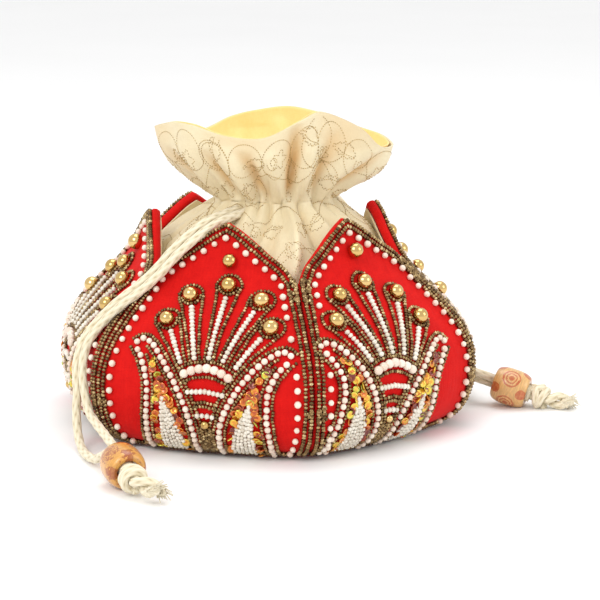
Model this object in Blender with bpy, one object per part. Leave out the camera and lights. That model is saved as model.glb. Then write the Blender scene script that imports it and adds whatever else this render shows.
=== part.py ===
"""Potli bag: six padded petals, a gathered collar, a lining and two drawcords.

Metres, +Z up.  The bag stands on its flat base at z = 0 with the base centred
on the origin.  A seam between two petals lies on -Y; angles run from -Y
towards +X.
"""

import math

import bpy
import numpy as np

MM = 0.001

# Body: six panels, profile of the outer face along a seam (radius, height).
PANELS = 6
PANEL_HALF = math.radians(30.0)
BODY_PROFILE = ((63.0, 1.2), (70.0, 1.0), (76.0, 1.6), (82.5, 2.9), (88.0, 6.0),
                (92.0, 11.0), (94.6, 18.0), (95.6, 27.0), (94.6, 36.0),
                (91.0, 44.0), (85.5, 51.0), (78.5, 58.0), (71.0, 65.0),
                (65.2, 71.5), (60.9, 78.0), (58.0, 84.5), (55.8, 91.0),
                (54.2, 95.0))
PANEL_FLATNESS = 0.93           # mid-panel radius over seam radius
PETAL_THICK = 4.0 * MM
PETAL_GAP = 0.16 * MM           # half the gap between neighbouring panels
NOTCH_HEIGHT = 71.5 * MM        # where neighbouring petals part
# Petal half width above the notch: (share of the way to the tip, share of width).
ARCH = ((0.0, 1.0), (0.28, 0.87), (0.5, 0.66), (0.72, 0.42), (0.89, 0.20), (1.0, 0.0))

FACING_THICK = 0.7 * MM
FACING_GAP = 0.35 * MM
FACING_INSET = 1.3 * MM
FACING_BOTTOM = 67.5 * MM
FACING_END = 0.985              # share of the profile where the facing ends

BASE_CORNER = 62.4 * MM
BASE_THICK = 3.2 * MM
BOARD_CORNER = 57.0 * MM
BOARD_BOTTOM = 3.6 * MM
BOARD_THICK = 2.0 * MM

# Collar: neck centre, then the lower path (seam radius, height) and the flare
# above the neck (share of radius, share of height) and the rim all round
# (angle, radius, height).
NECK_X, NECK_Y = 3.9 * MM, -0.8 * MM
NECK_RADIUS = 24.0 * MM
NECK_HEIGHT = 99.0 * MM
COLLAR_THICK = 0.8 * MM
COLLAR_LOWER = ((61.0, 66.5), (56.5, 71.0), (51.0, 76.0), (45.0, 81.5),
                (37.5, 87.5), (30.0, 92.5), (25.3, 96.0), (24.0, 99.0))
COLLAR_FLARE = ((0.0, 0.0), (0.05, 0.07), (0.20, 0.18), (0.40, 0.30),
                (0.62, 0.44), (0.82, 0.60), (0.94, 0.79), (1.0, 1.0))
RIM = ((-100, 52.7, 129.7), (-87, 48.0, 132.7), (-65, 44.7, 133.6),
       (-40, 42.0, 129.3), (-19, 39.5, 129.0), (-1, 37.8, 133.9),
       (21, 36.5, 139.2), (36, 40.0, 135.9), (48, 44.5, 130.7),
       (60, 47.5, 123.2), (71, 50.0, 120.8), (79, 52.6, 121.3),
       (88, 51.0, 123.5), (107, 45.3, 126.3), (138, 39.0, 132.2),
       (156, 37.8, 134.1), (177, 38.5, 132.6), (198, 39.5, 129.8),
       (215, 41.5, 125.3), (240, 47.0, 125.0))
PLEATS = 12
PLEAT_DEPTH = 0.6 * MM
COLLAR_AROUND = 48
LOWER_ROWS = np.array((0.0, 0.2, 0.4, 0.58, 0.74, 0.86, 0.94, 1.0))
UPPER_ROWS = np.array((0.06, 0.15, 0.28, 0.46, 0.64, 0.82, 1.0))

LINING_THICK = 0.6 * MM
LINING_GAP = 0.55 * MM
LINING_CUP = ((55.2, 63.0), (65.5, 54.5), (75.5, 43.5), (80.0, 30.0),
              (79.5, 18.5), (76.0, 11.6), (69.0, 8.4), (55.0, 7.2), (28.0, 6.6))

CORD_DIAMETER = 3.8 * MM
RING_RADIUS = 20.7 * MM
RING_HEIGHTS = (96.4 * MM, 100.5 * MM)
LINING_CINCH = 8.0 * MM

BEAD_LENGTH = 16.0 * MM
BEAD_RADIUS = 8.5 * MM
BEAD_END_RADIUS = 5.9 * MM
BEAD_BORE = 4.5 * MM
CROWN_BEAD_RADIUS = 3.0 * MM

# Drawcords: bead centre and line of its bore towards the knot, the route both
# strands share from the neck down the petals, and what each strand does alone
# between there and the bead (x, y, z in mm).
LEFT_BEAD = (-80.2, -102.2, 8.6)
LEFT_AXIS = (0.15, -0.985, -0.08)
LEFT_PAIR = ((-15.4, -22.4, 95.8), (-24.0, -30.2, 94.8), (-34.0, -37.6, 92.2),
             (-44.0, -40.6, 85.4), (-50.9, -39.6, 78.5), (-59.0, -39.5, 69.9),
             (-66.9, -37.6, 63.9), (-78.2, -34.9, 53.5), (-86.5, -35.2, 42.6),
             (-89.0, -38.3, 33.6), (-89.0, -40.8, 25.0))
LEFT_ALONE_A = ((-91.0, -40.6, 14.5), (-91.0, -45.0, 6.2), (-90.6, -54.0, 2.6),
                (-89.6, -65.0, 2.5), (-87.4, -75.0, 3.9))
LEFT_ALONE_B = ((-86.4, -46.6, 16.6), (-84.8, -56.0, 14.0), (-83.0, -67.0, 12.4))
RIGHT_BEAD = (110.8, -20.0, 8.7)
RIGHT_AXIS = (0.82, -0.50, -0.26)
RIGHT_PAIR = ((21.8, 22.1, 101.3), (28.6, 31.6, 99.9), (34.6, 39.6, 96.4),
              (43.0, 41.5, 88.4), (50.9, 39.0, 78.8), (59.2, 39.2, 69.9),
              (66.4, 39.9, 63.4), (76.6, 40.8, 53.3), (85.0, 41.5, 42.6),
              (90.0, 40.0, 33.0), (93.5, 35.0, 24.5), (95.8, 25.0, 18.4),
              (96.8, 12.0, 15.6))
STRAIGHT_BEHIND = 17.5 * MM     # straight run of a strand behind the bead's middle


def curve_through(points, samples):
    """Smooth curve through the points, sampled evenly along its length."""
    pts = np.asarray(points, dtype=float)
    steps = np.linalg.norm(np.diff(pts, axis=0), axis=1)
    at = np.concatenate(([0.0], np.cumsum(np.sqrt(steps))))
    slopes = np.gradient(pts, at, axis=0)
    fine = np.linspace(0.0, at[-1], 600)
    k = np.clip(np.searchsorted(at, fine, side="right") - 1, 0, len(at) - 2)
    h = (at[k + 1] - at[k])[:, None]
    t = ((fine - at[k])[:, None]) / h
    curve = ((2 * t**3 - 3 * t**2 + 1) * pts[k] + (t**3 - 2 * t**2 + t) * h * slopes[k]
             + (3 * t**2 - 2 * t**3) * pts[k + 1] + (t**3 - t**2) * h * slopes[k + 1])
    length = np.concatenate(([0.0], np.cumsum(np.linalg.norm(np.diff(curve, axis=0), axis=1))))
    want = np.asarray(samples)
    if want.ndim == 0:
        want = np.linspace(0.0, 1.0, int(want))
    return np.stack([np.interp(want * length[-1], length, c) for c in curve.T], axis=1)


def around(table, angles):
    """Smooth periodic value of each table column at the angles in degrees."""
    rows = np.asarray(table, dtype=float)
    turn = np.array([360.0] + [0.0] * (rows.shape[1] - 1))
    loop = np.vstack((rows[-2:] - turn, rows, rows[:2] + turn))
    at = loop[:, 0]
    ang = (np.asarray(angles) - at[1]) % 360.0 + at[1]
    slopes = np.gradient(loop[:, 1:], at, axis=0)
    k = np.clip(np.searchsorted(at, ang, side="right") - 1, 0, len(at) - 2)
    h = (at[k + 1] - at[k])[..., None]
    t = (ang - at[k])[..., None] / h
    return ((2 * t**3 - 3 * t**2 + 1) * loop[k, 1:] + (t**3 - 2 * t**2 + t) * h * slopes[k]
            + (3 * t**2 - 2 * t**3) * loop[k + 1, 1:] + (t**3 - t**2) * h * slopes[k + 1])


def flatness(angle):
    """Radius of the six-sided body over its seam radius at an angle in radians."""
    off = (np.asarray(angle) % (2 * PANEL_HALF) - PANEL_HALF) / PANEL_HALF
    return PANEL_FLATNESS + (1.0 - PANEL_FLATNESS) * off**2


def place(radius, angle, height):
    """Points from radius, angle from -Y towards +X, and height."""
    return np.stack([radius * np.sin(angle), -radius * np.cos(angle),
                     height + 0.0 * radius], axis=-1)


def finish(name, rgb, roughness, metallic=0.0, sheen=0.0):
    """One Principled material."""
    material = bpy.data.materials.new(name)
    material.use_nodes = True
    node = material.node_tree.nodes["Principled BSDF"]
    node.inputs["Base Color"].default_value = (*rgb, 1.0)
    node.inputs["Roughness"].default_value = roughness
    node.inputs["Metallic"].default_value = metallic
    node.inputs["Sheen Weight"].default_value = sheen
    return material


def add_mesh(name, verts, faces, material):
    """A smooth-shaded mesh object with one material."""
    mesh = bpy.data.meshes.new(name)
    mesh.from_pydata([tuple(v) for v in verts], [], faces)
    mesh.polygons.foreach_set("use_smooth", [True] * len(mesh.polygons))
    mesh.materials.append(material)
    mesh.update()
    body = bpy.data.objects.new(name, mesh)
    bpy.context.scene.collection.objects.link(body)
    return body


def tube_faces(rows, cols):
    """Quads of a grid whose columns close into a ring, outside outwards."""
    faces = []
    for i in range(rows - 1):
        for j in range(cols):
            k = (j + 1) % cols
            faces.append((i * cols + j, i * cols + k, (i + 1) * cols + k, (i + 1) * cols + j))
    return faces


def body_rows(stations):
    """Seam radius, height and outward normal of the body profile at arc shares."""
    spots = np.asarray(stations)
    points = curve_through(BODY_PROFILE, spots) * MM
    ahead = curve_through(BODY_PROFILE, np.clip(spots + 0.004, 0, 1)) * MM
    behind = curve_through(BODY_PROFILE, np.clip(spots - 0.004, 0, 1)) * MM
    run = ahead - behind
    run /= np.linalg.norm(run, axis=1)[:, None]
    return points[:, 0], points[:, 1], run[:, 1], -run[:, 0]


def share_at_height(height):
    """Arc share of the body profile at a height on its upper side."""
    shares = np.linspace(0.3, 1.0, 700)
    return float(np.interp(height, curve_through(BODY_PROFILE, shares)[:, 1] * MM, shares))


def arch_width(share, notch):
    """Half width of a petal as a share of its panel at an arc share."""
    t = np.clip((np.asarray(share) - notch) / (1.0 - notch), 0.0, 1.0)
    table = curve_through(ARCH, 80)
    return np.where(t > 0, np.interp(t, table[:, 0], table[:, 1]), 1.0)


def pillow(outer, inner, rows, cols):
    """Closed body of an outer and an inner grid welded along their border.

    The last row of both grids is one point.
    """
    last = rows - 1
    verts = []
    top = np.full((rows, cols), -1, dtype=int)
    under = np.full((rows, cols), -1, dtype=int)
    for i in range(rows):
        for j in range(cols):
            if i == last and j > 0:
                top[i, j] = under[i, j] = top[last, 0]
                continue
            top[i, j] = len(verts)
            verts.append(outer[i, j])
            border = i == 0 or i == last or j == 0 or j == cols - 1
            if border:
                under[i, j] = top[i, j]
            else:
                under[i, j] = len(verts)
                verts.append(inner[i, j])
    faces = []
    for i in range(last):
        for j in range(cols - 1):
            for grid, flip in ((top, False), (under, True)):
                quad = [grid[i, j], grid[i, j + 1], grid[i + 1, j + 1], grid[i + 1, j]]
                quad = [int(v) for n, v in enumerate(quad) if v not in quad[:n]]
                faces.append(quad[::-1] if flip else quad)
    return verts, faces


def petal_grid(centre, start, end, thick, inset, offset, uniform, width_of):
    """Outer and inner point grids of a petal-shaped pad.

    Rows run from the lower edge to the tip and columns across; both crowd
    towards the edge, where the pad is rounded off over half its thickness.
    """
    radius = thick / 2
    curl = radius * (1.0 - np.cos(np.radians((0.0, 35.0, 62.0, 90.0))))
    span = profile_length()
    edge_share = curl / span
    rows = np.concatenate((start + edge_share, np.linspace(start, end, uniform + 2)[1:-1], [end]))
    rows = np.unique(np.round(rows, 6))
    seam_r, height, nr, nz = body_rows(rows)
    width = width_of(rows)
    half = seam_r * PANEL_HALF * width * PANEL_FLATNESS - PETAL_GAP - inset
    half = np.maximum(half, 0.0)
    half[-1] = 0.0
    inner_cols = np.linspace(-1.0, 1.0, 7)[1:-1]
    outer = []
    inner = []
    for i, a in enumerate(half):
        edge = curl * min(1.0, 0.45 * a / radius)
        side = a - edge
        flat = side[-1]
        across = np.concatenate((-side, inner_cols * flat, side[::-1]))
        depth = a - np.abs(across)
        depth = np.minimum(depth, (rows[i] - start) * span)
        swell = np.sqrt(np.clip(1.0 - (1.0 - np.minimum(depth, radius) / radius) ** 2, 0, 1))
        if i in (0, len(half) - 1):
            swell = swell * 0.0
        angle = centre + across / (seam_r[i] * PANEL_FLATNESS)
        reach = seam_r[i] * flatness(angle)
        for side_sign, store in ((1.0, outer), (-1.0, inner)):
            shift = offset + radius * side_sign * swell
            store.append(place(reach + nr[i] * shift, angle, height[i] + nz[i] * shift))
    return np.array(outer), np.array(inner), len(rows), len(across)


def profile_length():
    """Length of the seam profile."""
    pts = curve_through(BODY_PROFILE, 200) * MM
    return float(np.linalg.norm(np.diff(pts, axis=0), axis=1).sum())


def add_petals(red, brocade, gold):
    """Six padded petals, the facing behind each tip and the bead below it."""
    notch = share_at_height(NOTCH_HEIGHT)
    facing_start = share_at_height(FACING_BOTTOM)
    crown = share_at_height(84.0 * MM)
    for k in range(PANELS):
        centre = PANEL_HALF * (1 + 2 * k)
        verts, faces = pillow(*petal_grid(
            centre, 0.0, 1.0, PETAL_THICK, 0.0, -PETAL_THICK / 2, 15,
            lambda s: arch_width(s, notch)))
        add_mesh(f"petal_{k + 1}", verts, faces, red)
        verts, faces = pillow(*petal_grid(
            centre, facing_start, FACING_END, FACING_THICK, FACING_INSET,
            -PETAL_THICK - FACING_GAP - FACING_THICK / 2, 6,
            lambda s: arch_width(facing_start + (s - facing_start)
                                 * (1.0 - facing_start) / (FACING_END - facing_start), notch)))
        add_mesh(f"petal_facing_{k + 1}", verts, faces, brocade)
        seam_r, height, nr, nz = (float(v[0]) for v in body_rows([crown]))
        out = CROWN_BEAD_RADIUS + 0.3 * MM
        spot = place(np.array(seam_r * PANEL_FLATNESS + nr * out), centre,
                     height + nz * out)
        add_ball(f"crown_bead_{k + 1}", spot, CROWN_BEAD_RADIUS, gold)


def add_ball(name, centre, radius, material):
    """A small ball."""
    rows, cols = 6, 10
    polar = np.linspace(0.0, math.pi, rows + 1)[1:-1]
    turn = np.arange(cols) * 2 * math.pi / cols
    verts = [centre - np.array((0, 0, radius))]
    for a in polar:
        for b in turn:
            verts.append(centre + radius * np.array((math.sin(a) * math.cos(b),
                                                     math.sin(a) * math.sin(b), -math.cos(a))))
    verts.append(centre + np.array((0, 0, radius)))
    faces = [tuple(v + 1 for v in quad) for quad in tube_faces(rows - 1, cols)]
    top = len(verts) - 1
    for j in range(cols):
        k = (j + 1) % cols
        faces.append((0, 1 + k, 1 + j))
        faces.append((top, top - cols + j, top - cols + k))
    add_mesh(name, verts, faces, material)


def add_plate(name, corner, bottom, thick, round_edge, material):
    """A six-sided plate with rounded edges and a flat underside."""
    turn = np.arange(36) * 2 * math.pi / 36
    lift = (0.0, 0.3, 0.7, 1.0)
    cut = (1.0, 0.3, 0.3, 1.0)
    rings = [place((corner - round_edge * c) * flatness(turn), turn, bottom + thick * h)
             for h, c in zip(lift, cut)]
    verts = np.concatenate(rings)
    cols = len(turn)
    faces = tube_faces(len(rings), cols)
    faces.append(tuple(range(cols))[::-1])
    faces.append(tuple(range(len(verts) - cols, len(verts))))
    add_mesh(name, verts, faces, material)


def collar_middle():
    """Mid-surface of the collar as radius and height grids about the neck.

    Also gives how far each point follows the neck's centre, 0 to 1.
    """
    turn = np.arange(COLLAR_AROUND) * 2 * math.pi / COLLAR_AROUND
    low = curve_through(COLLAR_LOWER, LOWER_ROWS) * MM
    rim = around(RIM, np.degrees(turn)) * MM
    flare = curve_through(COLLAR_FLARE, UPPER_ROWS)
    bottom = np.clip((85.0 * MM - low[:, 1]) / (18.0 * MM), 0.0, 1.0)
    six = 1.0 + (flatness(turn)[None, :] - 1.0) * bottom[:, None]
    radius = np.vstack((low[:, 0][:, None] * six,
                        NECK_RADIUS + (rim[:, 0] - NECK_RADIUS)[None, :] * flare[:, 0][:, None]))
    height = np.vstack((low[:, 1][:, None] + 0 * six,
                        NECK_HEIGHT + (rim[:, 1] - NECK_HEIGHT)[None, :] * flare[:, 1][:, None]))
    near = np.exp(-((height - NECK_HEIGHT) / (9.0 * MM)) ** 2)
    pleat = np.sin(PLEATS * turn + 0.5 * np.sin(3 * turn))[None, :]
    radius = radius + PLEAT_DEPTH * pleat * near
    shift = np.clip((height - 70.0 * MM) / (22.0 * MM), 0.0, 1.0)
    return turn, radius, height, shift


def offset_rows(radius, height, amount):
    """Shift a surface of turned rows along its normal in the profile plane."""
    run_r = np.gradient(radius, axis=0)
    run_z = np.gradient(height, axis=0)
    size = np.hypot(run_r, run_z)
    return radius + amount * run_z / size, height - amount * run_r / size


def collar_points(turn, radius, height, shift):
    """Points of turned rows whose centre moves from the body's to the neck's."""
    points = place(radius, turn[None, :], height)
    points[..., 0] += NECK_X * shift
    points[..., 1] += NECK_Y * shift
    return points


def add_collar(brocade):
    """The gathered collar: an open tube of cloth from the petals to the rim."""
    turn, radius, height, shift = collar_middle()
    faces_out = [collar_points(turn, *offset_rows(radius, height, d), shift)
                 for d in (COLLAR_THICK / 2, -COLLAR_THICK / 2)]
    loop = np.concatenate((faces_out[0], faces_out[1][::-1]))
    rows, cols = loop.shape[:2]
    faces = tube_faces(rows, cols)
    for j in range(cols):
        k = (j + 1) % cols
        faces.append(((rows - 1) * cols + j, (rows - 1) * cols + k, k, j))
    add_mesh("collar", loop.reshape(-1, 3), faces, brocade)


def add_lining(yellow):
    """The lining: an open cup inside the petals that follows the collar up."""
    turn, radius, height, shift = collar_middle()
    near = np.exp(-((height - NECK_HEIGHT) / (12.0 * MM)) ** 2)
    step = COLLAR_THICK / 2 + LINING_GAP + LINING_THICK / 2
    inner_r, inner_z = offset_rows(radius, height, -step)
    inner_r = inner_r - LINING_CINCH * near
    cup = curve_through(LINING_CUP, 10)[::-1] * MM
    inner_r = np.vstack((cup[:, 0][:, None] + 0 * turn[None, :], inner_r))
    inner_z = np.vstack((cup[:, 1][:, None] + 0 * turn[None, :], inner_z))
    move = np.vstack((np.zeros((len(cup), len(turn))), shift))
    skins = [collar_points(turn, *offset_rows(inner_r, inner_z, d), move)
             for d in (LINING_THICK / 2, -LINING_THICK / 2)]
    cols = len(turn)
    loop = np.concatenate((skins[0], skins[1][::-1])).reshape(-1, 3)
    rows = len(loop) // cols
    faces = tube_faces(rows, cols)
    floor = LINING_CUP[-1][1] * MM
    low = len(loop)
    ends = np.array(((0, 0, floor - LINING_THICK / 2), (0, 0, floor + LINING_THICK / 2)))
    for j in range(cols):
        k = (j + 1) % cols
        faces.append((low, k, j))
        faces.append((low + 1, (rows - 1) * cols + j, (rows - 1) * cols + k))
    add_mesh("lining", np.concatenate((loop, ends)), faces, yellow)


def add_ring(name, height, cotton):
    """The part of a drawcord that lies in the channel round the neck."""
    turn = np.arange(36) * 2 * math.pi / 36
    side = np.arange(8) * 2 * math.pi / 8
    radius = RING_RADIUS + CORD_DIAMETER / 2 * np.cos(side)[None, :] + 0 * turn[:, None]
    level = height + CORD_DIAMETER / 2 * np.sin(side)[None, :] + 0 * turn[:, None]
    verts = place(radius, turn[:, None], level)
    verts[..., 0] += NECK_X
    verts[..., 1] += NECK_Y
    rows, cols = len(turn), len(side)
    faces = []
    for i in range(rows):
        for j in range(cols):
            n, k = (i + 1) % rows, (j + 1) % cols
            faces.append((i * cols + j, n * cols + j, n * cols + k, i * cols + k))
    add_mesh(name, verts.reshape(-1, 3), faces, cotton)


def bead_frame(centre, axis):
    """Centre, unit axis towards the knot, sideways and up directions of a bead."""
    along = np.array(axis) / np.linalg.norm(axis)
    side = np.cross(along, (0.0, 0.0, 1.0))
    side /= np.linalg.norm(side)
    return np.asarray(centre) * MM, along, side, np.cross(side, along)


def pair_side(points):
    """Unit sideways direction of a cord pair lying on the petals at each point."""
    run = np.gradient(points, axis=0)
    run /= np.linalg.norm(run, axis=1)[:, None]
    out = points * (1.0, 1.0, 0.0)
    out /= np.linalg.norm(out, axis=1)[:, None]
    side = np.cross(run, out + (0.0, 0.0, 1.0))
    return side / np.linalg.norm(side, axis=1)[:, None]


def strand_route(pair, alone, hand, centre, axis, lean):
    """Route of one strand in metres: hand is +1 or -1 across the pair."""
    half = CORD_DIAMETER / 2 + 0.24 * MM
    shared = curve_through(np.asarray(pair) * MM, 12)
    shared = shared + hand * half * pair_side(shared)
    middle, along, side, up = bead_frame(centre, axis)
    seat = middle + hand * half * (side * lean[0] + up * lean[1])
    stops = (-STRAIGHT_BEHIND, -14.0 * MM, 0.0, BEAD_LENGTH / 2 + 0.3 * MM)
    straight = [seat + along * stop for stop in stops]
    return list(shared) + [np.asarray(p) * MM for p in alone] + straight


def add_strand(name, route, cotton):
    """One free strand as a tube along its route."""
    smooth = curve_through(route, 40)
    data = bpy.data.curves.new(name, "CURVE")
    data.dimensions = "3D"
    data.bevel_depth = CORD_DIAMETER / 2
    data.bevel_resolution = 2
    data.use_fill_caps = True
    spline = data.splines.new("POLY")
    spline.points.add(len(smooth) - 1)
    for point, spot in zip(spline.points, smooth):
        point.co = (*spot, 1.0)
    data.materials.append(cotton)
    strand = bpy.data.objects.new(name, data)
    bpy.context.scene.collection.objects.link(strand)


def add_turned(name, middle, along, side, up, profile, sides, material, closed):
    """A body turned about a line: closed loops of (distance along, radius)."""
    turn = np.arange(sides) * 2 * math.pi / sides
    rows = [middle + along * s + r * (np.cos(turn)[:, None] * side + np.sin(turn)[:, None] * up)
            for s, r in profile]
    verts = np.concatenate(rows)
    cols = sides
    faces = [face[::-1] for face in tube_faces(len(rows), cols)]
    last = (len(rows) - 1) * cols
    if closed:
        for j in range(cols):
            k = (j + 1) % cols
            faces.append((j, k, last + k, last + j))
    else:
        faces.append(tuple(range(cols)))
        faces.append(tuple(range(last, last + cols))[::-1])
    add_mesh(name, verts, faces, material)


def add_wooden_bead(name, centre, axis, wood):
    """A barrel-shaped wooden bead with a straight bore."""
    middle, along, side, up = bead_frame(centre, axis)
    outside = []
    for share in np.linspace(-1.0, 1.0, 11):
        bulge = (1.0 - abs(share) ** 2.6) ** 0.5
        outside.append((share * BEAD_LENGTH / 2,
                        BEAD_END_RADIUS + (BEAD_RADIUS - BEAD_END_RADIUS) * bulge))
    bore = [(share * BEAD_LENGTH / 2, BEAD_BORE + 0.25 * MM * abs(share) ** 4)
            for share in (1.0, 0.8, 0.0, -0.8, -1.0)]
    add_turned(name, middle, along, side, up, outside + bore, 24, wood, True)


def add_knot(name, centre, axis, bend, cotton):
    """The overhand knot below a bead, with its tail, as one lumpy body."""
    middle, along, side, up = bead_frame(centre, axis)
    start = middle + along * (BEAD_LENGTH / 2 + 0.65 * MM)
    level = np.array((along[0], along[1], 0.0))
    stations = ((0.0, 2.7), (0.8, 4.3), (2.4, 5.2), (4.4, 5.4), (6.4, 5.0), (8.0, 3.9),
                (9.4, 3.0), (11.0, 3.1), (13.5, 3.6), (16.0, 3.7), (18.5, 3.4),
                (21.0, 3.0), (22.0, 2.1))
    turn = np.arange(14) * 2 * math.pi / 14
    rows = []
    for s, r in stations:
        share = s / stations[-1][0]
        spot = start + along * min(s, 5.0) * MM + level * max(s - 5.0, 0.0) * MM
        spot = spot + side * bend * MM * max(0.0, share - 0.3) ** 1.3
        spot[2] = max(r * MM * 1.06 + 0.1 * MM, spot[2] - 2.5 * MM * share)
        lump = 1.0 + 0.05 * np.cos(3 * turn + s)
        rows.append(spot + (r * MM * lump)[:, None]
                    * (np.cos(turn)[:, None] * side + np.sin(turn)[:, None] * up))
    verts = np.concatenate(rows)
    cols = len(turn)
    faces = [face[::-1] for face in tube_faces(len(rows), cols)]
    faces.append(tuple(range(cols)))
    last = (len(rows) - 1) * cols
    faces.append(tuple(range(last, last + cols))[::-1])
    add_mesh(name, verts, faces, cotton)


def main():
    """Build every piece."""
    for item in list(bpy.data.objects):
        bpy.data.objects.remove(item)
    red = finish("red_silk", (0.62, 0.012, 0.010), 0.72, sheen=0.25)
    brocade = finish("cream_brocade", (0.76, 0.66, 0.46), 0.55)
    yellow = finish("yellow_lining", (0.90, 0.62, 0.20), 0.60)
    board = finish("stiffener_board", (0.55, 0.45, 0.32), 0.85)
    cotton = finish("cotton_cord", (0.80, 0.73, 0.57), 0.85)
    wood = finish("printed_wood", (0.56, 0.29, 0.09), 0.35)
    gold = finish("gold_bead", (0.80, 0.58, 0.24), 0.18, metallic=1.0)

    add_petals(red, brocade, gold)
    add_plate("base", BASE_CORNER, 0.0, BASE_THICK, 1.2 * MM, red)
    add_plate("base_board", BOARD_CORNER, BOARD_BOTTOM, BOARD_THICK, 0.3 * MM, board)
    add_collar(brocade)
    add_lining(yellow)
    for side, height in zip(("left", "right"), RING_HEIGHTS):
        add_ring(f"drawcord_{side}_channel", height, cotton)

    cords = (("left", LEFT_BEAD, LEFT_AXIS, LEFT_PAIR, LEFT_ALONE_A, LEFT_ALONE_B,
              (0.80, -0.60), -12.0),
             ("right", RIGHT_BEAD, RIGHT_AXIS, RIGHT_PAIR, (), (), (0.6, 0.8), -3.0))
    for side, centre, axis, pair, alone_a, alone_b, lean, bend in cords:
        for letter, alone, hand in (("a", alone_a, 1.0), ("b", alone_b, -1.0)):
            add_strand(f"drawcord_{side}_{letter}",
                       strand_route(pair, alone, hand, centre, axis, lean), cotton)
        add_wooden_bead(f"wooden_bead_{side}", centre, axis, wood)
        add_knot(f"knot_{side}", centre, axis, bend, cotton)


main()
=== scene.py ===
"""Potli bag: beaded red petals, gathered brocade collar, cotton drawcords.

Each sub-assembly is a class that works out its surfaces as numpy arrays and
dresses them with one of the finishes.  Metres, +Z up, the bag standing on
z = 0, a seam between two petals on -Y, angles from -Y towards +X.
"""

from __future__ import annotations

import logging
import math
from dataclasses import dataclass, field
from enum import Enum

import bpy
import numpy as np
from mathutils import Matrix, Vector

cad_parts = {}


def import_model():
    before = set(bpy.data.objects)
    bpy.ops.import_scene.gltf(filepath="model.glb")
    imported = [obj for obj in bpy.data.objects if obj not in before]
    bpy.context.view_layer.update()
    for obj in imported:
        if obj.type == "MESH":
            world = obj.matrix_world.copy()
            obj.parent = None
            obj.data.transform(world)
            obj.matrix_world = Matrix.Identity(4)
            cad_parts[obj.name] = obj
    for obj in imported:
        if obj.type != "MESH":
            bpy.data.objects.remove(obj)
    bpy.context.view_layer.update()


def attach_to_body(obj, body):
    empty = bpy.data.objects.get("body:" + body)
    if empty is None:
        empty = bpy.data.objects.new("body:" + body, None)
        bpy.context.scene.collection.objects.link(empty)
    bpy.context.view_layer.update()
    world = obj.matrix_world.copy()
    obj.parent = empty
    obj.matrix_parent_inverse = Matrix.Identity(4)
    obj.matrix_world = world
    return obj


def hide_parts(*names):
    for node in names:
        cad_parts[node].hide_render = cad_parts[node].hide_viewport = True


LOG = logging.getLogger("potli")
MM = 0.001
Array = np.ndarray
Points = tuple[tuple[float, ...], ...]
Pair = tuple[float, float]
Triple = tuple[float, float, float]
Piece = bpy.types.Object
Material = bpy.types.Material
Node = bpy.types.Node
Socket = bpy.types.NodeSocket


# ---- numbers

def hermite(at: Array, values: Array, where: Array) -> Array:
    """Smooth curve through rows of values at rising stations.

    With t the share of a piece of length h, p its two end values and m their
    slopes from central differences: (2t^3 - 3t^2 + 1) p0 + (t^3 - 2t^2 + t) h m0
    + (3t^2 - 2t^3) p1 + (t^3 - t^2) h m1.

    Args:
        at: Stations.
        values: One row of values per station.
        where: Where to read.

    Returns:
        One row of values per place read.
    """
    slopes = np.gradient(values, at, axis=0)
    k = np.clip(np.searchsorted(at, where, side="right") - 1, 0, len(at) - 2)
    h = (at[k + 1] - at[k])[..., None]
    t = (where - at[k])[..., None] / h
    return ((2 * t**3 - 3 * t**2 + 1) * values[k] + (t**3 - 2 * t**2 + t) * h * slopes[k]
            + (3 * t**2 - 2 * t**3) * values[k + 1] + (t**3 - t**2) * h * slopes[k + 1])


def length_along(points: Array) -> Array:
    """Distance along a polyline at each of its points, from zero."""
    return np.concatenate(([0.0], np.cumsum(np.linalg.norm(np.diff(points, axis=0), axis=1))))


def read_along(points: Array, far: Array, want: Array) -> Array:
    """Points of a polyline at wanted distances; far is the distance at its points."""
    return np.stack([np.interp(want, far, c) for c in points.T], axis=1)


def run_length(points: Array) -> float:
    """Length of a polyline."""
    return float(np.linalg.norm(np.diff(points, axis=0), axis=1).sum())


def curve_through(points: Array | Points, samples: int | Array) -> Array:
    """Smooth curve through the points, read evenly along its length.

    Cubic Hermite pieces between neighbouring points, whose stations are the
    summed square roots of the spacing.

    Args:
        points: The points it passes, any number of columns.
        samples: How many samples, or the shares of the length to read at.

    Returns:
        One row per sample.
    """
    pts = np.asarray(points, dtype=float)
    steps = np.linalg.norm(np.diff(pts, axis=0), axis=1)
    at = np.concatenate(([0.0], np.cumsum(np.sqrt(steps))))
    curve = hermite(at, pts, np.linspace(0.0, at[-1], 1200))
    length = length_along(curve)
    want = np.asarray(samples)
    if want.ndim == 0:
        want = np.linspace(0.0, 1.0, int(want))
    return read_along(curve, length, want * length[-1])


def around(table: Points, angles: Array) -> Array:
    """Smooth periodic value of the table's columns at angles in degrees.

    Args:
        table: Rows of angle, then values, with the angles rising.
        angles: Where to read, in degrees.

    Returns:
        One row of values per angle.
    """
    rows = np.asarray(table, dtype=float)
    turn = np.array([360.0] + [0.0] * (rows.shape[1] - 1))
    loop = np.vstack((rows[-2:] - turn, rows, rows[:2] + turn))
    at = loop[:, 0]
    return hermite(at, loop[:, 1:], (np.asarray(angles) - at[1]) % 360.0 + at[1])


def unit(vectors: Array) -> Array:
    """Vectors scaled to length one along their last axis."""
    return vectors / np.maximum(np.linalg.norm(vectors, axis=-1, keepdims=True), 1e-12)


def place(radius: Array, angle: Array, height: Array) -> Array:
    """Points from radius, angle from -Y towards +X, and height."""
    return np.stack(np.broadcast_arrays(radius * np.sin(angle), -radius * np.cos(angle),
                                        height), axis=-1)


def round_spots(angle: Array, high: float = 1.0) -> Array:
    """Cosines and sines of angles, the sines times a height, as rows."""
    return np.stack((np.cos(angle), high * np.sin(angle)), axis=1)


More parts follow.
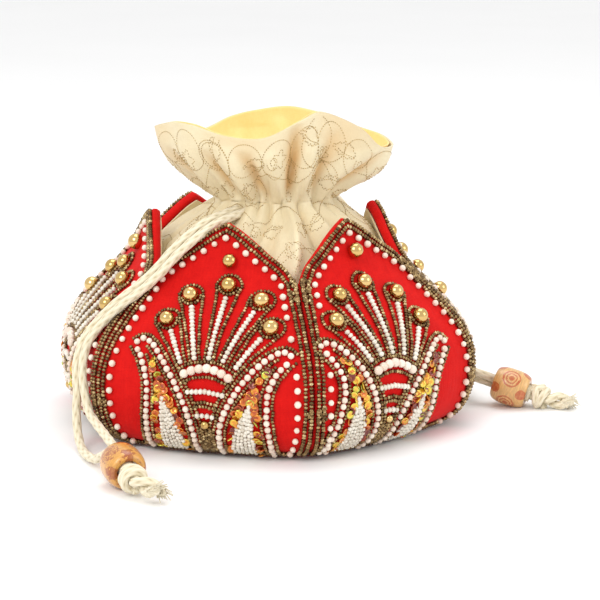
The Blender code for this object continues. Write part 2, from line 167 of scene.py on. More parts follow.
def left_of(run: Array) -> Array:
    """Flat directions turned a quarter turn to the left."""
    return np.stack((-run[:, 1], run[:, 0]), axis=1)


def turn_angles(count: int) -> Array:
    """Angles of evenly spaced points round a circle."""
    return np.arange(count) * 2 * math.pi / count


# ---- meshes

@dataclass
class Shape:
    """Vertices with four-sided and three-sided faces, and what goes with them."""

    verts: Array
    quads: Array = field(default_factory=lambda: np.zeros((0, 4), int))
    tris: Array = field(default_factory=lambda: np.zeros((0, 3), int))
    uv: Array | None = None
    tint: Array | None = None
    wrap: float = 0.0
    wrap_axis: int = 1

    def welded(self) -> "Shape":
        """This shape with points that share a place made one, and flat faces dropped.

        Returns:
            The shape; a four-sided face that lost a corner becomes three-sided.
        """
        keys = np.round(self.verts / 1e-7).astype(np.int64)
        _, first, back = np.unique(keys, axis=0, return_index=True, return_inverse=True)
        back = back.ravel()
        quads, tris = back[self.quads], back[self.tris]
        same = quads == np.roll(quads, -1, axis=1)
        lost = same.sum(axis=1)
        rows = np.argmax(same[lost == 1], axis=1)
        part = quads[lost == 1]
        turns = (rows[:, None] + 1 + np.arange(3)) % 4
        cut = part[np.arange(len(part))[:, None], turns]
        tris = np.concatenate((tris, cut))
        flat = (tris == np.roll(tris, -1, axis=1)).any(axis=1)
        return Shape(self.verts[first], quads[lost == 0], tris[~flat],
                     None if self.uv is None else self.uv[first],
                     None if self.tint is None else self.tint[first], self.wrap, self.wrap_axis)

    def copies(self, centres: Array, frames: Array, tint: Array | None = None) -> "Shape":
        """This shape repeated at many places.

        Each copy is the shape's points times a 3 by 3 frame plus a centre.

        Args:
            centres: One centre per copy.
            frames: One frame per copy; its rows are the copy's x, y and z.
            tint: One value per copy for the finish to read, added to the shape's own.

        Returns:
            All copies as one shape.
        """
        count, size = len(centres), len(self.verts)
        verts = np.einsum("vi,nij->nvj", self.verts, frames) + centres[:, None, :]
        step = (np.arange(count) * size)[:, None, None]
        values = None if tint is None else np.repeat(tint, size)
        if values is not None and self.tint is not None:
            values = values + np.tile(self.tint, count)
        return Shape(verts.reshape(-1, 3), (self.quads[None] + step).reshape(-1, 4),
                     (self.tris[None] + step).reshape(-1, 3), None, values)

    def joined(self, other: "Shape") -> "Shape":
        """This shape and another as one.

        Args:
            other: The other shape.

        Returns:
            Both, with UV and tint where both have them.
        """
        shift = len(self.verts)

        def both(a: Array | None, b: Array | None) -> Array | None:
            """Two per-vertex arrays end to end, when there are two."""
            return None if a is None or b is None else np.concatenate((a, b))

        return Shape(np.concatenate((self.verts, other.verts)),
                     np.concatenate((self.quads, other.quads + shift)),
                     np.concatenate((self.tris, other.tris + shift)),
                     both(self.uv, other.uv), both(self.tint, other.tint), self.wrap,
                     self.wrap_axis)

    def corner_uv(self) -> Array:
        """The UV of each face corner, carried past the map's period where a face wraps.

        Returns:
            One row per corner, four-sided faces first.
        """
        parts = []
        for faces in (self.quads, self.tris):
            part = self.uv[faces]
            if self.wrap:
                value = part[..., self.wrap_axis]
                high = value.max(axis=1, keepdims=True) if len(value) else value
                part[..., self.wrap_axis] = np.where(value < high - self.wrap / 2,
                                                     value + self.wrap, value)
            parts.append(part.reshape(-1, 2))
        return np.concatenate(parts)

    def build(self, name: str, material: Material) -> Piece:
        """Make the Blender object, smooth-shaded, at the origin.

        Args:
            name: Name of the piece.
            material: Its finish.

        Returns:
            The new object, linked to the scene.
        """
        mesh = bpy.data.meshes.new(name)
        loops = np.concatenate((self.quads.ravel(), self.tris.ravel())).astype(np.int32)
        totals = np.concatenate((np.full(len(self.quads), 4), np.full(len(self.tris), 3)))
        mesh.vertices.add(len(self.verts))
        mesh.vertices.foreach_set("co", self.verts.astype(np.float32).ravel())
        mesh.loops.add(len(loops))
        mesh.loops.foreach_set("vertex_index", loops)
        mesh.polygons.add(len(totals))
        starts = np.concatenate(([0], np.cumsum(totals)[:-1])).astype(np.int32)
        mesh.polygons.foreach_set("loop_start", starts)
        mesh.polygons.foreach_set("use_smooth", np.ones(len(totals), bool))
        if self.uv is not None:
            layer = mesh.uv_layers.new(name="UVMap")
            layer.uv.foreach_set("vector", self.corner_uv().astype(np.float32).ravel())
        if self.tint is not None:
            values = mesh.attributes.new("tint", "FLOAT", "POINT")
            values.data.foreach_set("value", self.tint.astype(np.float32))
        mesh.materials.append(material)
        mesh.update(calc_edges=True)
        mesh.validate()
        piece = bpy.data.objects.new(name, mesh)
        bpy.context.scene.collection.objects.link(piece)
        LOG.info("%s: %d faces", name, len(totals))
        return piece


def grid_quads(rows: int, cols: int, ring: bool = True, loop: bool = False) -> Array:
    """Faces of a grid of points, row by row.

    Args:
        rows: Rows of points.
        cols: Columns of points.
        ring: The last column joins the first.
        loop: The last row joins the first.

    Returns:
        Vertex numbers, four to a face, outside outwards when the rows rise and
        the columns turn anticlockwise seen from above.
    """
    i = np.arange(rows if loop else rows - 1)[:, None]
    j = np.arange(cols if ring else cols - 1)[None, :]
    up, on = (i + 1) % rows, (j + 1) % cols
    return np.stack(np.broadcast_arrays(i * cols + j, i * cols + on, up * cols + on,
                                        up * cols + j), axis=-1).reshape(-1, 4)


def pole_faces(rings: int, sides: int) -> Array:
    """Faces that close a stack of rings with one pole below and one above.

    Args:
        rings: How many rings there are; the two poles' points follow theirs.
        sides: Points round each ring.

    Returns:
        Vertex numbers, three to a face.
    """
    low, last = rings * sides, (rings - 1) * sides
    j = np.arange(sides)
    k = (j + 1) % sides
    return np.vstack((np.stack((np.full(sides, low), k, j), 1),
                      np.stack((np.full(sides, low + 1), last + j, last + k), 1)))


def turned(profile: Array, sides: int) -> Shape:
    """Closed body turned about Z: rings of the profile with a pole at each end.

    Args:
        profile: Rows of radius and height, rising, first and last on the axis.
        sides: Points round each ring.

    Returns:
        The body.
    """
    angle = turn_angles(sides)
    rings = place(profile[1:-1, :1], angle[None, :] + math.pi / 2, profile[1:-1, 1:2])
    count = len(rings)
    verts = np.vstack((rings.reshape(-1, 3), (0, 0, profile[0, 1]), (0, 0, profile[-1, 1])))
    return Shape(verts, grid_quads(count, sides), pole_faces(count, sides))


def ball(sides: int, rings: int) -> Shape:
    """Ball of radius one: radius and height are the sine and cosine of an angle."""
    polar = np.linspace(math.pi, 0.0, rings + 1)
    return turned(np.stack((np.sin(polar), np.cos(polar)), axis=1), sides)


def tube(line: Array, radius: Array, sides: int) -> Shape:
    """A tube carried along a line, closed by a pole at each end.

    Each ring is the centre plus radius times the cosine and sine of the angle
    along two directions square to the line, turned as little as possible.

    Args:
        line: Centre points.
        radius: Radius per ring, or per ring and side.
        sides: Points round each ring.

    Returns:
        The tube; its UV is distance along in metres and the share round.
    """
    run = unit(np.gradient(line, axis=0))
    ref = np.zeros_like(run)
    side = np.cross(run[0], (0.0, 0.0, 1.0))
    side = side if np.linalg.norm(side) > 1e-3 else np.cross(run[0], (1.0, 0.0, 0.0))
    for n, direction in enumerate(run):
        side = unit(side - direction * (side @ direction))
        ref[n] = side
    other = np.cross(run, ref)
    angle = turn_angles(sides)
    reach = np.broadcast_to(radius if np.ndim(radius) == 2 else np.reshape(radius, (-1, 1)),
                            (len(line), sides))
    rings = (line[:, None, :] + reach[..., None]
             * (np.cos(angle)[None, :, None] * ref[:, None, :]
                + np.sin(angle)[None, :, None] * other[:, None, :]))
    far = length_along(line)
    uv = np.stack(np.broadcast_arrays(far[:, None], (angle / (2 * math.pi))[None, :]),
                  axis=-1).reshape(-1, 2)
    count = len(line)
    verts = np.vstack((rings.reshape(-1, 3), line[:1], line[-1:]))
    uv = np.vstack((uv, (0.0, 0.5), (far[-1], 0.5)))
    return Shape(verts, grid_quads(count, sides), pole_faces(count, sides), uv)


def attach(piece: Piece, body: str, node: str | None = None) -> None:
    """Put a piece on its body.

    Args:
        piece: The piece.
        body: The body that it rides on.
        node: The CAD node that it stands for.
    """
    if node is not None:
        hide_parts(node)
    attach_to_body(piece, body)


# ---- finishes

class Graph:
    """A material's node tree, with short ways to add and join nodes."""

    def __init__(self, name: str) -> None:
        """Start a material with one Principled shader.

        Args:
            name: Name of the material.
        """
        self.material = bpy.data.materials.new(name)
        self.material.use_nodes = True
        self.tree = self.material.node_tree
        self.shader = self.tree.nodes["Principled BSDF"]

    def add(self, kind: str, **sockets: object) -> Node:
        """Add a node and set or link its inputs.

        Args:
            kind: Node type.
            sockets: Input name with spaces as underscores, and a value or socket.

        Returns:
            The new node.
        """
        node = self.tree.nodes.new(kind)
        for key, value in sockets.items():
            self.put(node, key.replace("_", " "), value)
        return node

    def put(self, node: Node, socket: str | int, value: object) -> None:
        """Set an input of a node to a value or link it to a socket.

        Args:
            node: The node.
            socket: The input's name, or # and its number.
            value: A value, or the socket to link.
        """
        target = node.inputs[int(socket[1:])] if str(socket)[:1] == "#" else node.inputs[socket]
        if isinstance(value, Socket):
            self.tree.links.new(value, target)
        else:
            target.default_value = value

    def math(self, op: str, a: object, b: object = 0.0, c: object = 0.0) -> Socket:
        """One Math node.

        Args:
            op: What it works out.
            a: First number or socket.
            b: Second number or socket.
            c: Third number or socket.

        Returns:
            Its result.
        """
        node = self.tree.nodes.new("ShaderNodeMath")
        node.operation = op
        for index, value in enumerate((a, b, c)):
            self.put(node, f"#{index}", value)
        return node.outputs[0]

    def ramp(self, value: object, stops: tuple[tuple[float, tuple[float, ...]], ...],
             mode: str = "LINEAR") -> Socket:
        """A colour ramp.

        Args:
            value: What it reads.
            stops: Rows of position and colour.
            mode: How it fills the gaps between stops.

        Returns:
            Its colour.
        """
        node = self.add("ShaderNodeValToRGB", Fac=value)
        node.color_ramp.interpolation = mode
        band = node.color_ramp.elements
        for index, (spot, colour) in enumerate(stops):
            item = band[index] if index < 2 else band.new(spot)
            item.position, item.color = spot, (*colour, 1.0)
        return node.outputs["Color"]

    def mapped(self, source: str, scale: Triple) -> Socket:
        """UV or Object coordinates, scaled."""
        where = self.add("ShaderNodeTexCoord").outputs[source]
        return self.add("ShaderNodeMapping", Vector=where, Scale=scale).outputs["Vector"]

    def noise(self, at: Socket, scale: float, detail: float = 2.0,
              rough: float = 0.5) -> Socket:
        """Noise between about 0.2 and 0.8."""
        return self.add("ShaderNodeTexNoise", Vector=at, Scale=scale, Detail=detail,
                        Roughness=rough).outputs[0]

    def attribute(self, name: str) -> Socket:
        """A number stored on the mesh."""
        node = self.add("ShaderNodeAttribute")
        node.attribute_name = name
        return node.outputs["Fac"]

    def blend(self, share: Socket, under: Socket,
              over: Triple) -> Socket:
        """A colour laid over another.

        Args:
            share: How much of it shows, from 0 to 1.
            under: The colour below.
            over: The colour laid over it.

        Returns:
            The mixed colour.
        """
        node = self.tree.nodes.new("ShaderNodeMix")
        node.data_type = "RGBA"
        self.put(node, "#0", share)
        self.put(node, "#6", under)
        node.inputs[7].default_value = (*over, 1.0)
        return node.outputs[2]

    def bump(self, height: Socket, depth: float) -> None:
        """Bump the shader's normal by a height.

        Args:
            height: Height, 0 to 1.
            depth: What 1 stands for, in metres.
        """
        node = self.add("ShaderNodeBump", Height=height, Strength=1.0, Distance=depth)
        self.put(self.shader, "Normal", node.outputs["Normal"])

    def gloss(self, **sockets: object) -> None:
        """Set shader inputs that are the same all over."""
        for key, value in sockets.items():
            self.put(self.shader, key.replace("_", " "), value)


@dataclass(frozen=True)
class ClothFinish:
    """A woven cloth: two close colours, thread bump and a soft sheen."""

    name: str
    dark: Triple
    light: Triple
    roughness: float
    sheen: float
    threads: Pair
    slub: float
    depth: float
    mottle: float = 160.0
    specular: float = 0.3
    contrast: float = 1.0
    fold: Triple | None = None

    def make(self) -> Material:
        """Mottled colour with crossing threads on the piece's UV map, and painted shade in the
        valleys of folds where a shade colour is given.

        Returns:
            The material.
        """
        graph = Graph(self.name)
        warp = graph.noise(graph.mapped("UV", (self.threads[0], self.slub, 1.0)), 1.0, 3.0, 0.6)
        weft = graph.noise(graph.mapped("UV", (self.slub, self.threads[1], 1.0)), 1.0, 3.0, 0.6)
        cloud = graph.noise(graph.mapped("UV", (1.0, 1.0, 1.0)), self.mottle, 4.0, 0.6)
        threads = graph.math("ADD", warp, weft)
        tone = graph.math("MULTIPLY_ADD", threads, 0.45, graph.math("MULTIPLY", cloud, 0.75))
        low, high = 0.5 - 0.25 / self.contrast, 0.5 + 0.25 / self.contrast
        colour = graph.ramp(graph.math("SUBTRACT", tone, 0.32), ((low, self.dark),
                                                                 (high, self.light)))
        # Painted shade: the shade colour is mixed in by the mesh's tint, the share of shade in the
        # valleys of folds, mottled by the cloud.
        if self.fold is not None:
            fold_shade_share = graph.math("MULTIPLY", graph.attribute("tint"),
                              graph.math("MULTIPLY_ADD", cloud, 1.2, 0.2))
            colour = graph.blend(fold_shade_share, colour, self.fold)
        graph.put(graph.shader, "Base Color", colour)
        graph.gloss(Roughness=self.roughness, Sheen_Weight=self.sheen, Sheen_Roughness=0.4,
                    Specular_IOR_Level=self.specular)
        graph.bump(threads, self.depth)
        return graph.material


@dataclass(frozen=True)
class BeadFinish:
    """A bead finish whose shade differs from bead to bead."""

    name: str
    stops: tuple[tuple[float, Triple], ...]
    roughness: float
    metallic: float = 0.0
    coat: float = 0.0

    def make(self) -> Material:
        """Colour ramp over the bead's own tint.

        Returns:
            The material.
        """
        graph = Graph(self.name)
        graph.put(graph.shader, "Base Color", graph.ramp(graph.attribute("tint"), self.stops))
        graph.gloss(Roughness=self.roughness, Metallic=self.metallic, Coat_Weight=self.coat,
                    Coat_Roughness=0.08)
        return graph.material


@dataclass(frozen=True)
class CottonFinish:
    """Unbleached cotton yarn with fine fibres along the strand."""

    name: str = "braided_cotton"

    def make(self) -> Material:
        """Fibre noise stretched along the cord, darker by painted shade in the hollows between the
        braid's yarns.

        Returns:
            The material.
        """
        graph = Graph(self.name)
        fibre = graph.noise(graph.mapped("UV", (320.0, 30.0, 1.0)), 1.0, 3.0, 0.6)
        # The tint is painted shade on braided yarns, dark in the hollows and light on the ridges,
        # and random tone on fibres and tufts.
        shade_and_tone = graph.attribute("tint")
        tone = graph.math("MULTIPLY_ADD", fibre, 0.50, graph.math("MULTIPLY", shade_and_tone, 0.75))
        graph.put(graph.shader, "Base Color", graph.ramp(
            tone, ((0.20, (0.38, 0.29, 0.15)), (0.58, (0.68, 0.59, 0.40)),
                   (0.98, (0.82, 0.75, 0.58)))))
        graph.gloss(Roughness=0.8, Sheen_Weight=0.25, Sheen_Roughness=0.5)
        graph.bump(fibre, 0.00018)
        return graph.material


@dataclass(frozen=True)
class WoodFinish:
    """Varnished pale wood with printed rosettes and dots round the bead."""

    name: str
    ground: Triple
    print_colour: Triple
    worn: float = 0.09

    def make(self) -> Material:
        """Rings about the middle of each printed cell, dots between the cells.

        The UV map counts cells round and along the bead.  In a cell, distance
        from its middle picks rings of print; at its corners, small dots.

        Returns:
            The material.
        """
        graph = Graph(self.name)
        where = graph.add("ShaderNodeTexCoord").outputs["UV"]
        split = graph.add("ShaderNodeSeparateXYZ", Vector=where)
        along, across = (graph.math("FRACT", split.outputs[a]) for a in ("X", "Y"))

        def spread(shift: float) -> Socket:
            """Distance from a spot that repeats in every cell."""
            u = graph.math("SUBTRACT", graph.math("FRACT", graph.math("ADD", along, shift)), 0.5)
            v = graph.math("SUBTRACT", graph.math("FRACT", graph.math("ADD", across, shift)), 0.5)
            return graph.math("SQRT", graph.math("ADD", graph.math("MULTIPLY", u, u),
                                                 graph.math("MULTIPLY", v, v)))

        wobble = graph.math("SUBTRACT", graph.noise(graph.mapped("Object", (1, 1, 1)), 700.0, 2.0),
                            0.5)
        far = graph.math("MULTIPLY_ADD", wobble, self.worn, spread(0.0))
        black, white = (0.0,) * 3, (1.0,) * 3
        rings = graph.ramp(far, ((0.0, white), (0.10, black), (0.16, white), (0.21, black),
                                 (0.26, white), (0.33, black)), "CONSTANT")
        dots = graph.ramp(graph.math("MULTIPLY_ADD", wobble, self.worn, spread(0.5)),
                          ((0.0, white), (0.20, black)), "CONSTANT")
        inked = graph.math("MAXIMUM", rings, dots)
        streak = graph.noise(graph.mapped("UV", (3.0, 22.0, 1.0)), 1.0, 4.0, 0.6)
        dark = tuple(c * 0.55 for c in self.ground)
        wood = graph.ramp(streak, ((0.2, dark), (0.62, self.ground)))
        faded = graph.math("MULTIPLY", inked, graph.math("MULTIPLY_ADD", wobble, 1.0, 0.85))
        graph.put(graph.shader, "Base Color", graph.blend(faded, wood, self.print_colour))
        graph.gloss(Roughness=0.32, Coat_Weight=0.5, Coat_Roughness=0.15)
        graph.bump(streak, 0.00008)
        return graph.material


class Finish(Enum):
    """Every finish of the bag."""

    SILK = ClothFinish("red_silk", (0.50, 0.0025, 0.0025), (0.66, 0.0075, 0.005), 0.75, 0.04,
                       (900.0, 2600.0), 60.0, 0.00015, 190.0, 0.12, 0.8)
    # The brocade's last colour is painted shade, peach-brown, for the valleys of the collar's folds.
    BROCADE = ClothFinish("cream_brocade", (0.66, 0.55, 0.34), (0.80, 0.71, 0.49), 0.55, 0.12,
                          (2600.0, 2600.0), 300.0, 0.00008, 70.0, 0.35, 0.7, (0.62, 0.37, 0.13))
    LINING = ClothFinish("yellow_lining", (0.88, 0.58, 0.20), (0.96, 0.72, 0.32), 0.50, 0.10,
                         (3000.0, 3000.0), 300.0, 0.00005, 40.0, 0.3, 0.7)
    BRONZE = BeadFinish(
        "bronze_seed_beads", ((0.0, (0.105, 0.058, 0.022)), (0.45, (0.24, 0.148, 0.060)),
                              (0.8, (0.38, 0.26, 0.115)), (1.0, (0.60, 0.46, 0.24))), 0.24, 0.8)
    PEARL = BeadFinish(
        "ivory_pearls", ((0.0, (0.72, 0.56, 0.45)), (1.0, (0.85, 0.74, 0.62))), 0.28, 0.0, 0.4)
    WHITE = BeadFinish(
        "white_seed_beads", ((0.0, (0.64, 0.57, 0.46)), (1.0, (0.84, 0.79, 0.69))), 0.30, 0.0, 0.3)
    GOLD = BeadFinish(
        "polished_gold_beads", ((0.0, (0.58, 0.38, 0.13)), (1.0, (0.72, 0.51, 0.22))), 0.08, 1.0)
    # Sequins: the red to orange stops are their own colour; the yellow and green stops are painted
    # glints.
    SEQUIN = BeadFinish(
        "shimmer_sequins", ((0.0, (0.16, 0.015, 0.005)), (0.22, (0.50, 0.07, 0.01)),
                            (0.48, (0.72, 0.22, 0.015)), (0.70, (0.80, 0.42, 0.03)),
                            (0.88, (0.78, 0.62, 0.06)), (1.0, (0.36, 0.48, 0.06))), 0.14, 0.45, 0.6)
    THREAD = BeadFinish(
        "gold_thread", ((0.0, (0.30, 0.18, 0.045)), (1.0, (0.58, 0.40, 0.14))), 0.45, 0.25)
    COTTON = CottonFinish()
    WOOD = WoodFinish("printed_wood_pale", (0.72, 0.42, 0.15), (0.45, 0.09, 0.02))
    WOOD_DARK = WoodFinish("printed_wood_warm", (0.70, 0.34, 0.07), (0.30, 0.06, 0.012), 0.55)
    BOARD = ClothFinish("stiffener_board", (0.35, 0.27, 0.17), (0.50, 0.41, 0.28), 0.85, 0.0,
                        (700.0, 700.0), 90.0, 0.0001)


class Workshop:
    """Makes each finish once."""

    def __init__(self) -> None:
        """Start with no finish made."""
        self.made: dict[Finish, Material] = {}

    def get(self, finish: Finish) -> Material:
        """The material of a finish."""
        if finish not in self.made:
            self.made[finish] = finish.value.make()
        return self.made[finish]


# ---- body form

PANELS = 6
PANEL_HALF = math.pi / PANELS


@dataclass
class BodySurface:
    """Outer face of the six petals: a seam profile, a little flat in mid-panel.

    A point is at a distance up along the profile and a distance across from
    the panel's middle, and stands out along the profile's normal.
    """

    profile: Points = (
        (63, 1.2), (70, 1), (76, 1.6), (82.5, 2.9), (88, 6), (92, 11), (94.6, 18), (95.6, 27),
        (94.6, 36), (91, 44), (85.5, 51), (78.5, 58), (71, 65), (65.2, 71.5), (60.9, 78),
        (58, 84.5), (55.8, 91), (54.2, 95))
    flat: float = 0.93
    notch_height: float = 71.5 * MM
    gap: float = 0.16 * MM
    arch: Points = ((0.0, 1.0), (0.28, 0.87), (0.5, 0.66), (0.72, 0.42), (0.89, 0.20), (1.0, 0.0))

    def __post_init__(self) -> None:
        """Tabulate the profile and the arch of the petal tips."""
        rows = curve_through(self.profile, 900) * MM
        run = unit(np.gradient(rows, axis=0))
        self.length = run_length(rows)
        self.at = np.linspace(0.0, self.length, len(rows))
        self.table = np.column_stack((rows, run[:, 1], -run[:, 0]))
        upper = self.at > 0.4 * self.length
        self.notch = float(np.interp(self.notch_height, rows[upper, 1], self.at[upper]))
        self.arch_table = curve_through(self.arch, 120)

    def read(self, up: Array) -> tuple[Array, Array, Array, Array]:
        """Seam radius, height and outward normal at a distance up the profile."""
        return tuple(np.interp(up, self.at, column) for column in self.table.T)

    def flatness(self, angle: Array) -> Array:
        """Radius over seam radius: least at the panel's middle, one at its seams."""
        off = (np.asarray(angle) % (2 * PANEL_HALF) - PANEL_HALF) / PANEL_HALF
        return self.flat + (1.0 - self.flat) * off**2

    def point(self, panel: int, across: Array, up: Array, out: Array | float = 0.0) -> Array:
        """Points on or off a panel.

        Args:
            panel: 1 to 6, anticlockwise from the front seam.
            across: Metres from the panel's middle line.
            up: Metres along the profile from the lower edge.
            out: Metres off the face.

        Returns:
            Points in the bag's frame.
        """
        radius, height, n_r, n_z = self.read(up)
        angle = PANEL_HALF * (2 * panel - 1) + across / (radius * self.flat)
        return place(radius * self.flatness(angle) + n_r * out, angle, height + n_z * out)

    def normal(self, panel: int, across: Array, up: Array) -> Array:
        """Outward directions on a panel, square to small steps across and up.

        Args:
            panel: 1 to 6.
            across: Metres from the panel's middle line.
            up: Metres along the profile.

        Returns:
            One direction per point.
        """
        step = 0.2 * MM
        up = np.clip(up, step, self.length - step)
        side = self.point(panel, across + step, up) - self.point(panel, across - step, up)
        rise = self.point(panel, across, up + step) - self.point(panel, across, up - step)
        return unit(np.cross(side, rise))

    def half_width(self, up: Array, start: float | None = None, end: float | None = None) -> Array:
        """Half width of a petal at a distance up, narrowing to the tip's arch.

        Args:
            up: Metres along the profile.
            start: Where the arch starts, the notch unless given.
            end: Where it ends, the petal's tip unless given.

        Returns:
            Metres from the middle line to the edge.
        """
        start = self.notch if start is None else start
        end = self.length if end is None else end
        share = np.clip((up - start) / (end - start), 0.0, 1.0)
        width = np.interp(share, self.arch_table[:, 0], self.arch_table[:, 1])
        return self.read(up)[0] * PANEL_HALF * width * self.flat - self.gap

    def outline(self, inset: float, low: float, foot: float | None = None) -> Array:
        """A petal's edge moved inwards, from its left foot over the tip to its right foot.

        Args:
            inset: How far inside the edge, metres.
            low: Distance up the profile where the line starts and ends.
            foot: How far inside it at the feet, where that differs.

        Returns:
            Rows of across and up.
        """
        up = np.linspace(low, self.length, 400)
        edge = np.stack((np.maximum(self.half_width(up), 0.0), up), axis=1)
        run = unit(np.gradient(edge, axis=0))
        depth = np.interp(up, (0.7 * self.notch, self.notch),
                          (inset if foot is None else foot, inset))[:, None]
        line = edge + depth * left_of(run)
        line = line[(line[:, 0] > 0.0) & (line[:, 1] > low)]
        line = line[np.concatenate(([True], np.diff(np.maximum.accumulate(line[:, 1])) > 0))]
        return np.vstack((line * (-1, 1), line[::-1]))


def pad_grid(surface: BodySurface, panel: int, span: Pair, inset: float,
             middle: float, thick: float, size: tuple[int, int]) -> Shape:
    """Petal-shaped pad, rounded off over half its thickness along its edge.

    Each row is a closed loop: across the outer face, then back across the inner
    one.  Both stand off the middle surface by half the thickness times
    sqrt(1 - (1 - depth / half thickness)^2), depth being the distance inside
    the edge.

    Args:
        surface: The body's surface.
        panel: Panel number.
        span: Where it starts and ends up the profile.
        inset: How far its sides stay inside the petal's.
        middle: Offset of its middle surface.
        thick: Thickness.
        size: Rows, and columns across one face.

    Returns:
        The pad, closed, with its UV map in metres across and up.
    """
    low, high = span
    radius = thick / 2
    curl = radius * (1.0 - np.cos(np.radians(np.linspace(0.0, 90.0, 6))))
    tip = high - (high - low) * np.array((0.02, 0.012, 0.007, 0.003, 0.0))
    up = np.unique(np.concatenate((low + curl, np.linspace(low, high, size[0]), tip)))
    start = surface.notch if low < surface.notch else low
    half = np.maximum(surface.half_width(up, start, high) - inset, 0.0)
    half[-1] = 0.0
    edge = curl[None, :] * np.minimum(1.0, 0.45 * half / radius)[:, None]
    side = half[:, None] - edge
    inner = np.linspace(-1.0, 1.0, size[1])[None, 1:-1] * side[:, -1:]
    across = np.concatenate((-side, inner, side[:, ::-1]), axis=1)
    depth = np.minimum(half[:, None] - np.abs(across), (up - low)[:, None])
    depth = np.minimum(depth, 2.0 * (high - up)[:, None])
    swell = np.sqrt(1.0 - (1.0 - np.clip(depth, 0.0, radius) / radius) ** 2)
    rows = np.broadcast_to(up[:, None], across.shape)
    ruck = 0.10 * MM * np.sin(across * 310 + 40 * rows + panel) * np.sin(rows * 230 + panel)
    outer = surface.point(panel, across, rows, middle + (radius + ruck) * swell)
    under = surface.point(panel, across, rows, middle - radius * swell)
    loop = np.concatenate((outer, under[:, -2:0:-1]), axis=1)
    flat = np.stack((across, rows), axis=-1)
    uv = np.concatenate((flat, flat[:, -2:0:-1]), axis=1)
    count, cols = loop.shape[:2]
    return Shape(loop.reshape(-1, 3), grid_quads(count, cols), uv=uv.reshape(-1, 2)).welded()


@dataclass
class Petals:
    """Six padded petals with the brocade facing behind each tip."""

    surface: BodySurface
    thick: float = 4.0 * MM
    facing_thick: float = 0.7 * MM
    facing_gap: float = 0.35 * MM
    facing_inset: float = 1.3 * MM
    facing_bottom: float = 67.5 * MM
    facing_flat: Pair = (0.060, 0.031)
    facing_area: float = 0.00115

    def build(self, shop: Workshop) -> None:
        """Make the petals and their facings.

        Args:
            shop: Gives the finishes.
        """
        surface = self.surface
        upper = surface.at > 0.4 * surface.length
        foot = float(np.interp(self.facing_bottom, surface.table[upper, 1], surface.at[upper]))
        for panel in range(1, PANELS + 1):
            pad = pad_grid(surface, panel, (0.0, surface.length), 0.0, -self.thick / 2,
                           self.thick, (96, 44)).build(f"silk_petal_{panel}",
                                                       shop.get(Finish.SILK))
            attach(pad, "bag", f"petal_{panel}")
            middle = -self.thick - self.facing_gap - self.facing_thick / 2
            facing = pad_grid(surface, panel, (foot, surface.length * 0.985), self.facing_inset,
                              middle, self.facing_thick, (30, 26))
            facing = facing.build(f"brocade_facing_{panel}", shop.get(Finish.BROCADE))
            attach(facing, "bag", f"petal_facing_{panel}")


@dataclass
class Plate:
    """A flat six-sided plate with rounded edges, following the body's outline."""

    name: str
    node: str
    corner: float
    bottom: float
    thick: float
    finish: Finish
    slot: str
    sides: int = 72

    def build(self, surface: BodySurface, shop: Workshop) -> None:
        """Make the plate: rings of its section times the six-sided outline.

        Args:
            surface: Gives the outline.
            shop: Gives the finish.
        """
        edge = 0.3 * self.thick
        section = np.array([(0.0, 0.0), (0.4, 0.0), (0.8, 0.0), (1.0, 0.0)])
        low = section * (self.corner - edge, 0.0) + (0.0, self.bottom)
        high = low[::-1] + (0.0, self.thick)
        side = np.array(((self.corner, self.bottom + edge),
                         (self.corner, self.bottom + self.thick - edge)))
        rows = np.vstack((low[1:], side, high[:-1]))
        turn = turn_angles(self.sides)
        body = turned(np.vstack((low[:1], rows, high[-1:])), self.sides)
        rings = place(rows[:, :1] * surface.flatness(turn)[None, :], turn[None, :], rows[:, 1:2])
        body.verts[:-2] = rings.reshape(-1, 3)
        body.uv = body.verts[:, :2].copy()
        attach(body.build(self.name, shop.get(self.finish)), "bag", self.node)


# ---- beadwork

@dataclass(frozen=True)
class Motif:
    """The beaded design of one panel: rows of across and up, in millimetres.

    Lines with two sides are mirrored over the panel's middle.
    """

    crown_ball: Pair = (0.0, 113.6)
    fan_balls: Points = ((0.0, 102.5), (15.2, 96.0), (22.2, 82.5))
    fan_feet: Points = ((0.0, 66.2), (6.0, 65.6), (11.6, 63.4))
    fan_foot_half: tuple[float, ...] = (1.9, 2.0, 2.0)
    horn_outer: Points = ((33.6, 69.6), (30.0, 72.0), (25.3, 69.8), (21.7, 66.0), (17.4, 61.0),
                          (13.2, 54.8), (10.2, 49.5), (7.8, 43.8), (6.2, 38.3), (5.4, 33.0),
                          (5.2, 27.0), (5.2, 22.0))
    horn_inner: Points = ((33.4, 69.0), (31.4, 66.6), (28.4, 62.0), (26.2, 56.5), (25.4, 51.0),
                          (25.6, 44.0), (26.0, 36.0), (26.2, 29.0), (26.0, 22.0))
    pearl_arc: Points = ((0.0, 62.6), (1.9, 62.4), (5.6, 61.4), (9.4, 59.6))
    arc_above: Points = ((0.0, 65.4), (4.0, 65.0), (8.4, 63.6), (12.0, 61.6))
    arc_below: Points = ((0.0, 59.2), (4.0, 58.7), (8.0, 57.2), (10.6, 55.8))
    drop_axis: Points = ((18.6, 48.5), (17.0, 41.0), (15.6, 33.0), (14.8, 23.5))


class BeadKind(Enum):
    """The sorts of bead and sequin sewn on."""

    BRONZE = "bronze_rows"
    PEARL = "ivory_pearls"
    WHITE = "white_seeds"
    SEQUIN = "sequins"
    GOLD = "gold_balls"


@dataclass(frozen=True)
class Placing:
    """How one panel's design sits after sewing: moved, and turned about its fan.

    The crown ball, sewn on by itself, is moved by its own amount as well.
    """

    across: float
    up: float
    turn: float
    crown: Pair = (0.0, 0.0)
    centre: float = 103.0 * MM

    def moved(self, spots: Array) -> Array:
        """Spots of the design where they were really sewn.

        Args:
            spots: Rows of across and up, metres.

        Returns:
            The moved rows.
        """
        angle = math.radians(self.turn)
        spin = np.array(((math.cos(angle), math.sin(angle)), (-math.sin(angle), math.cos(angle))))
        return (spots - (0.0, self.centre)) @ spin + (self.across, self.centre + self.up)


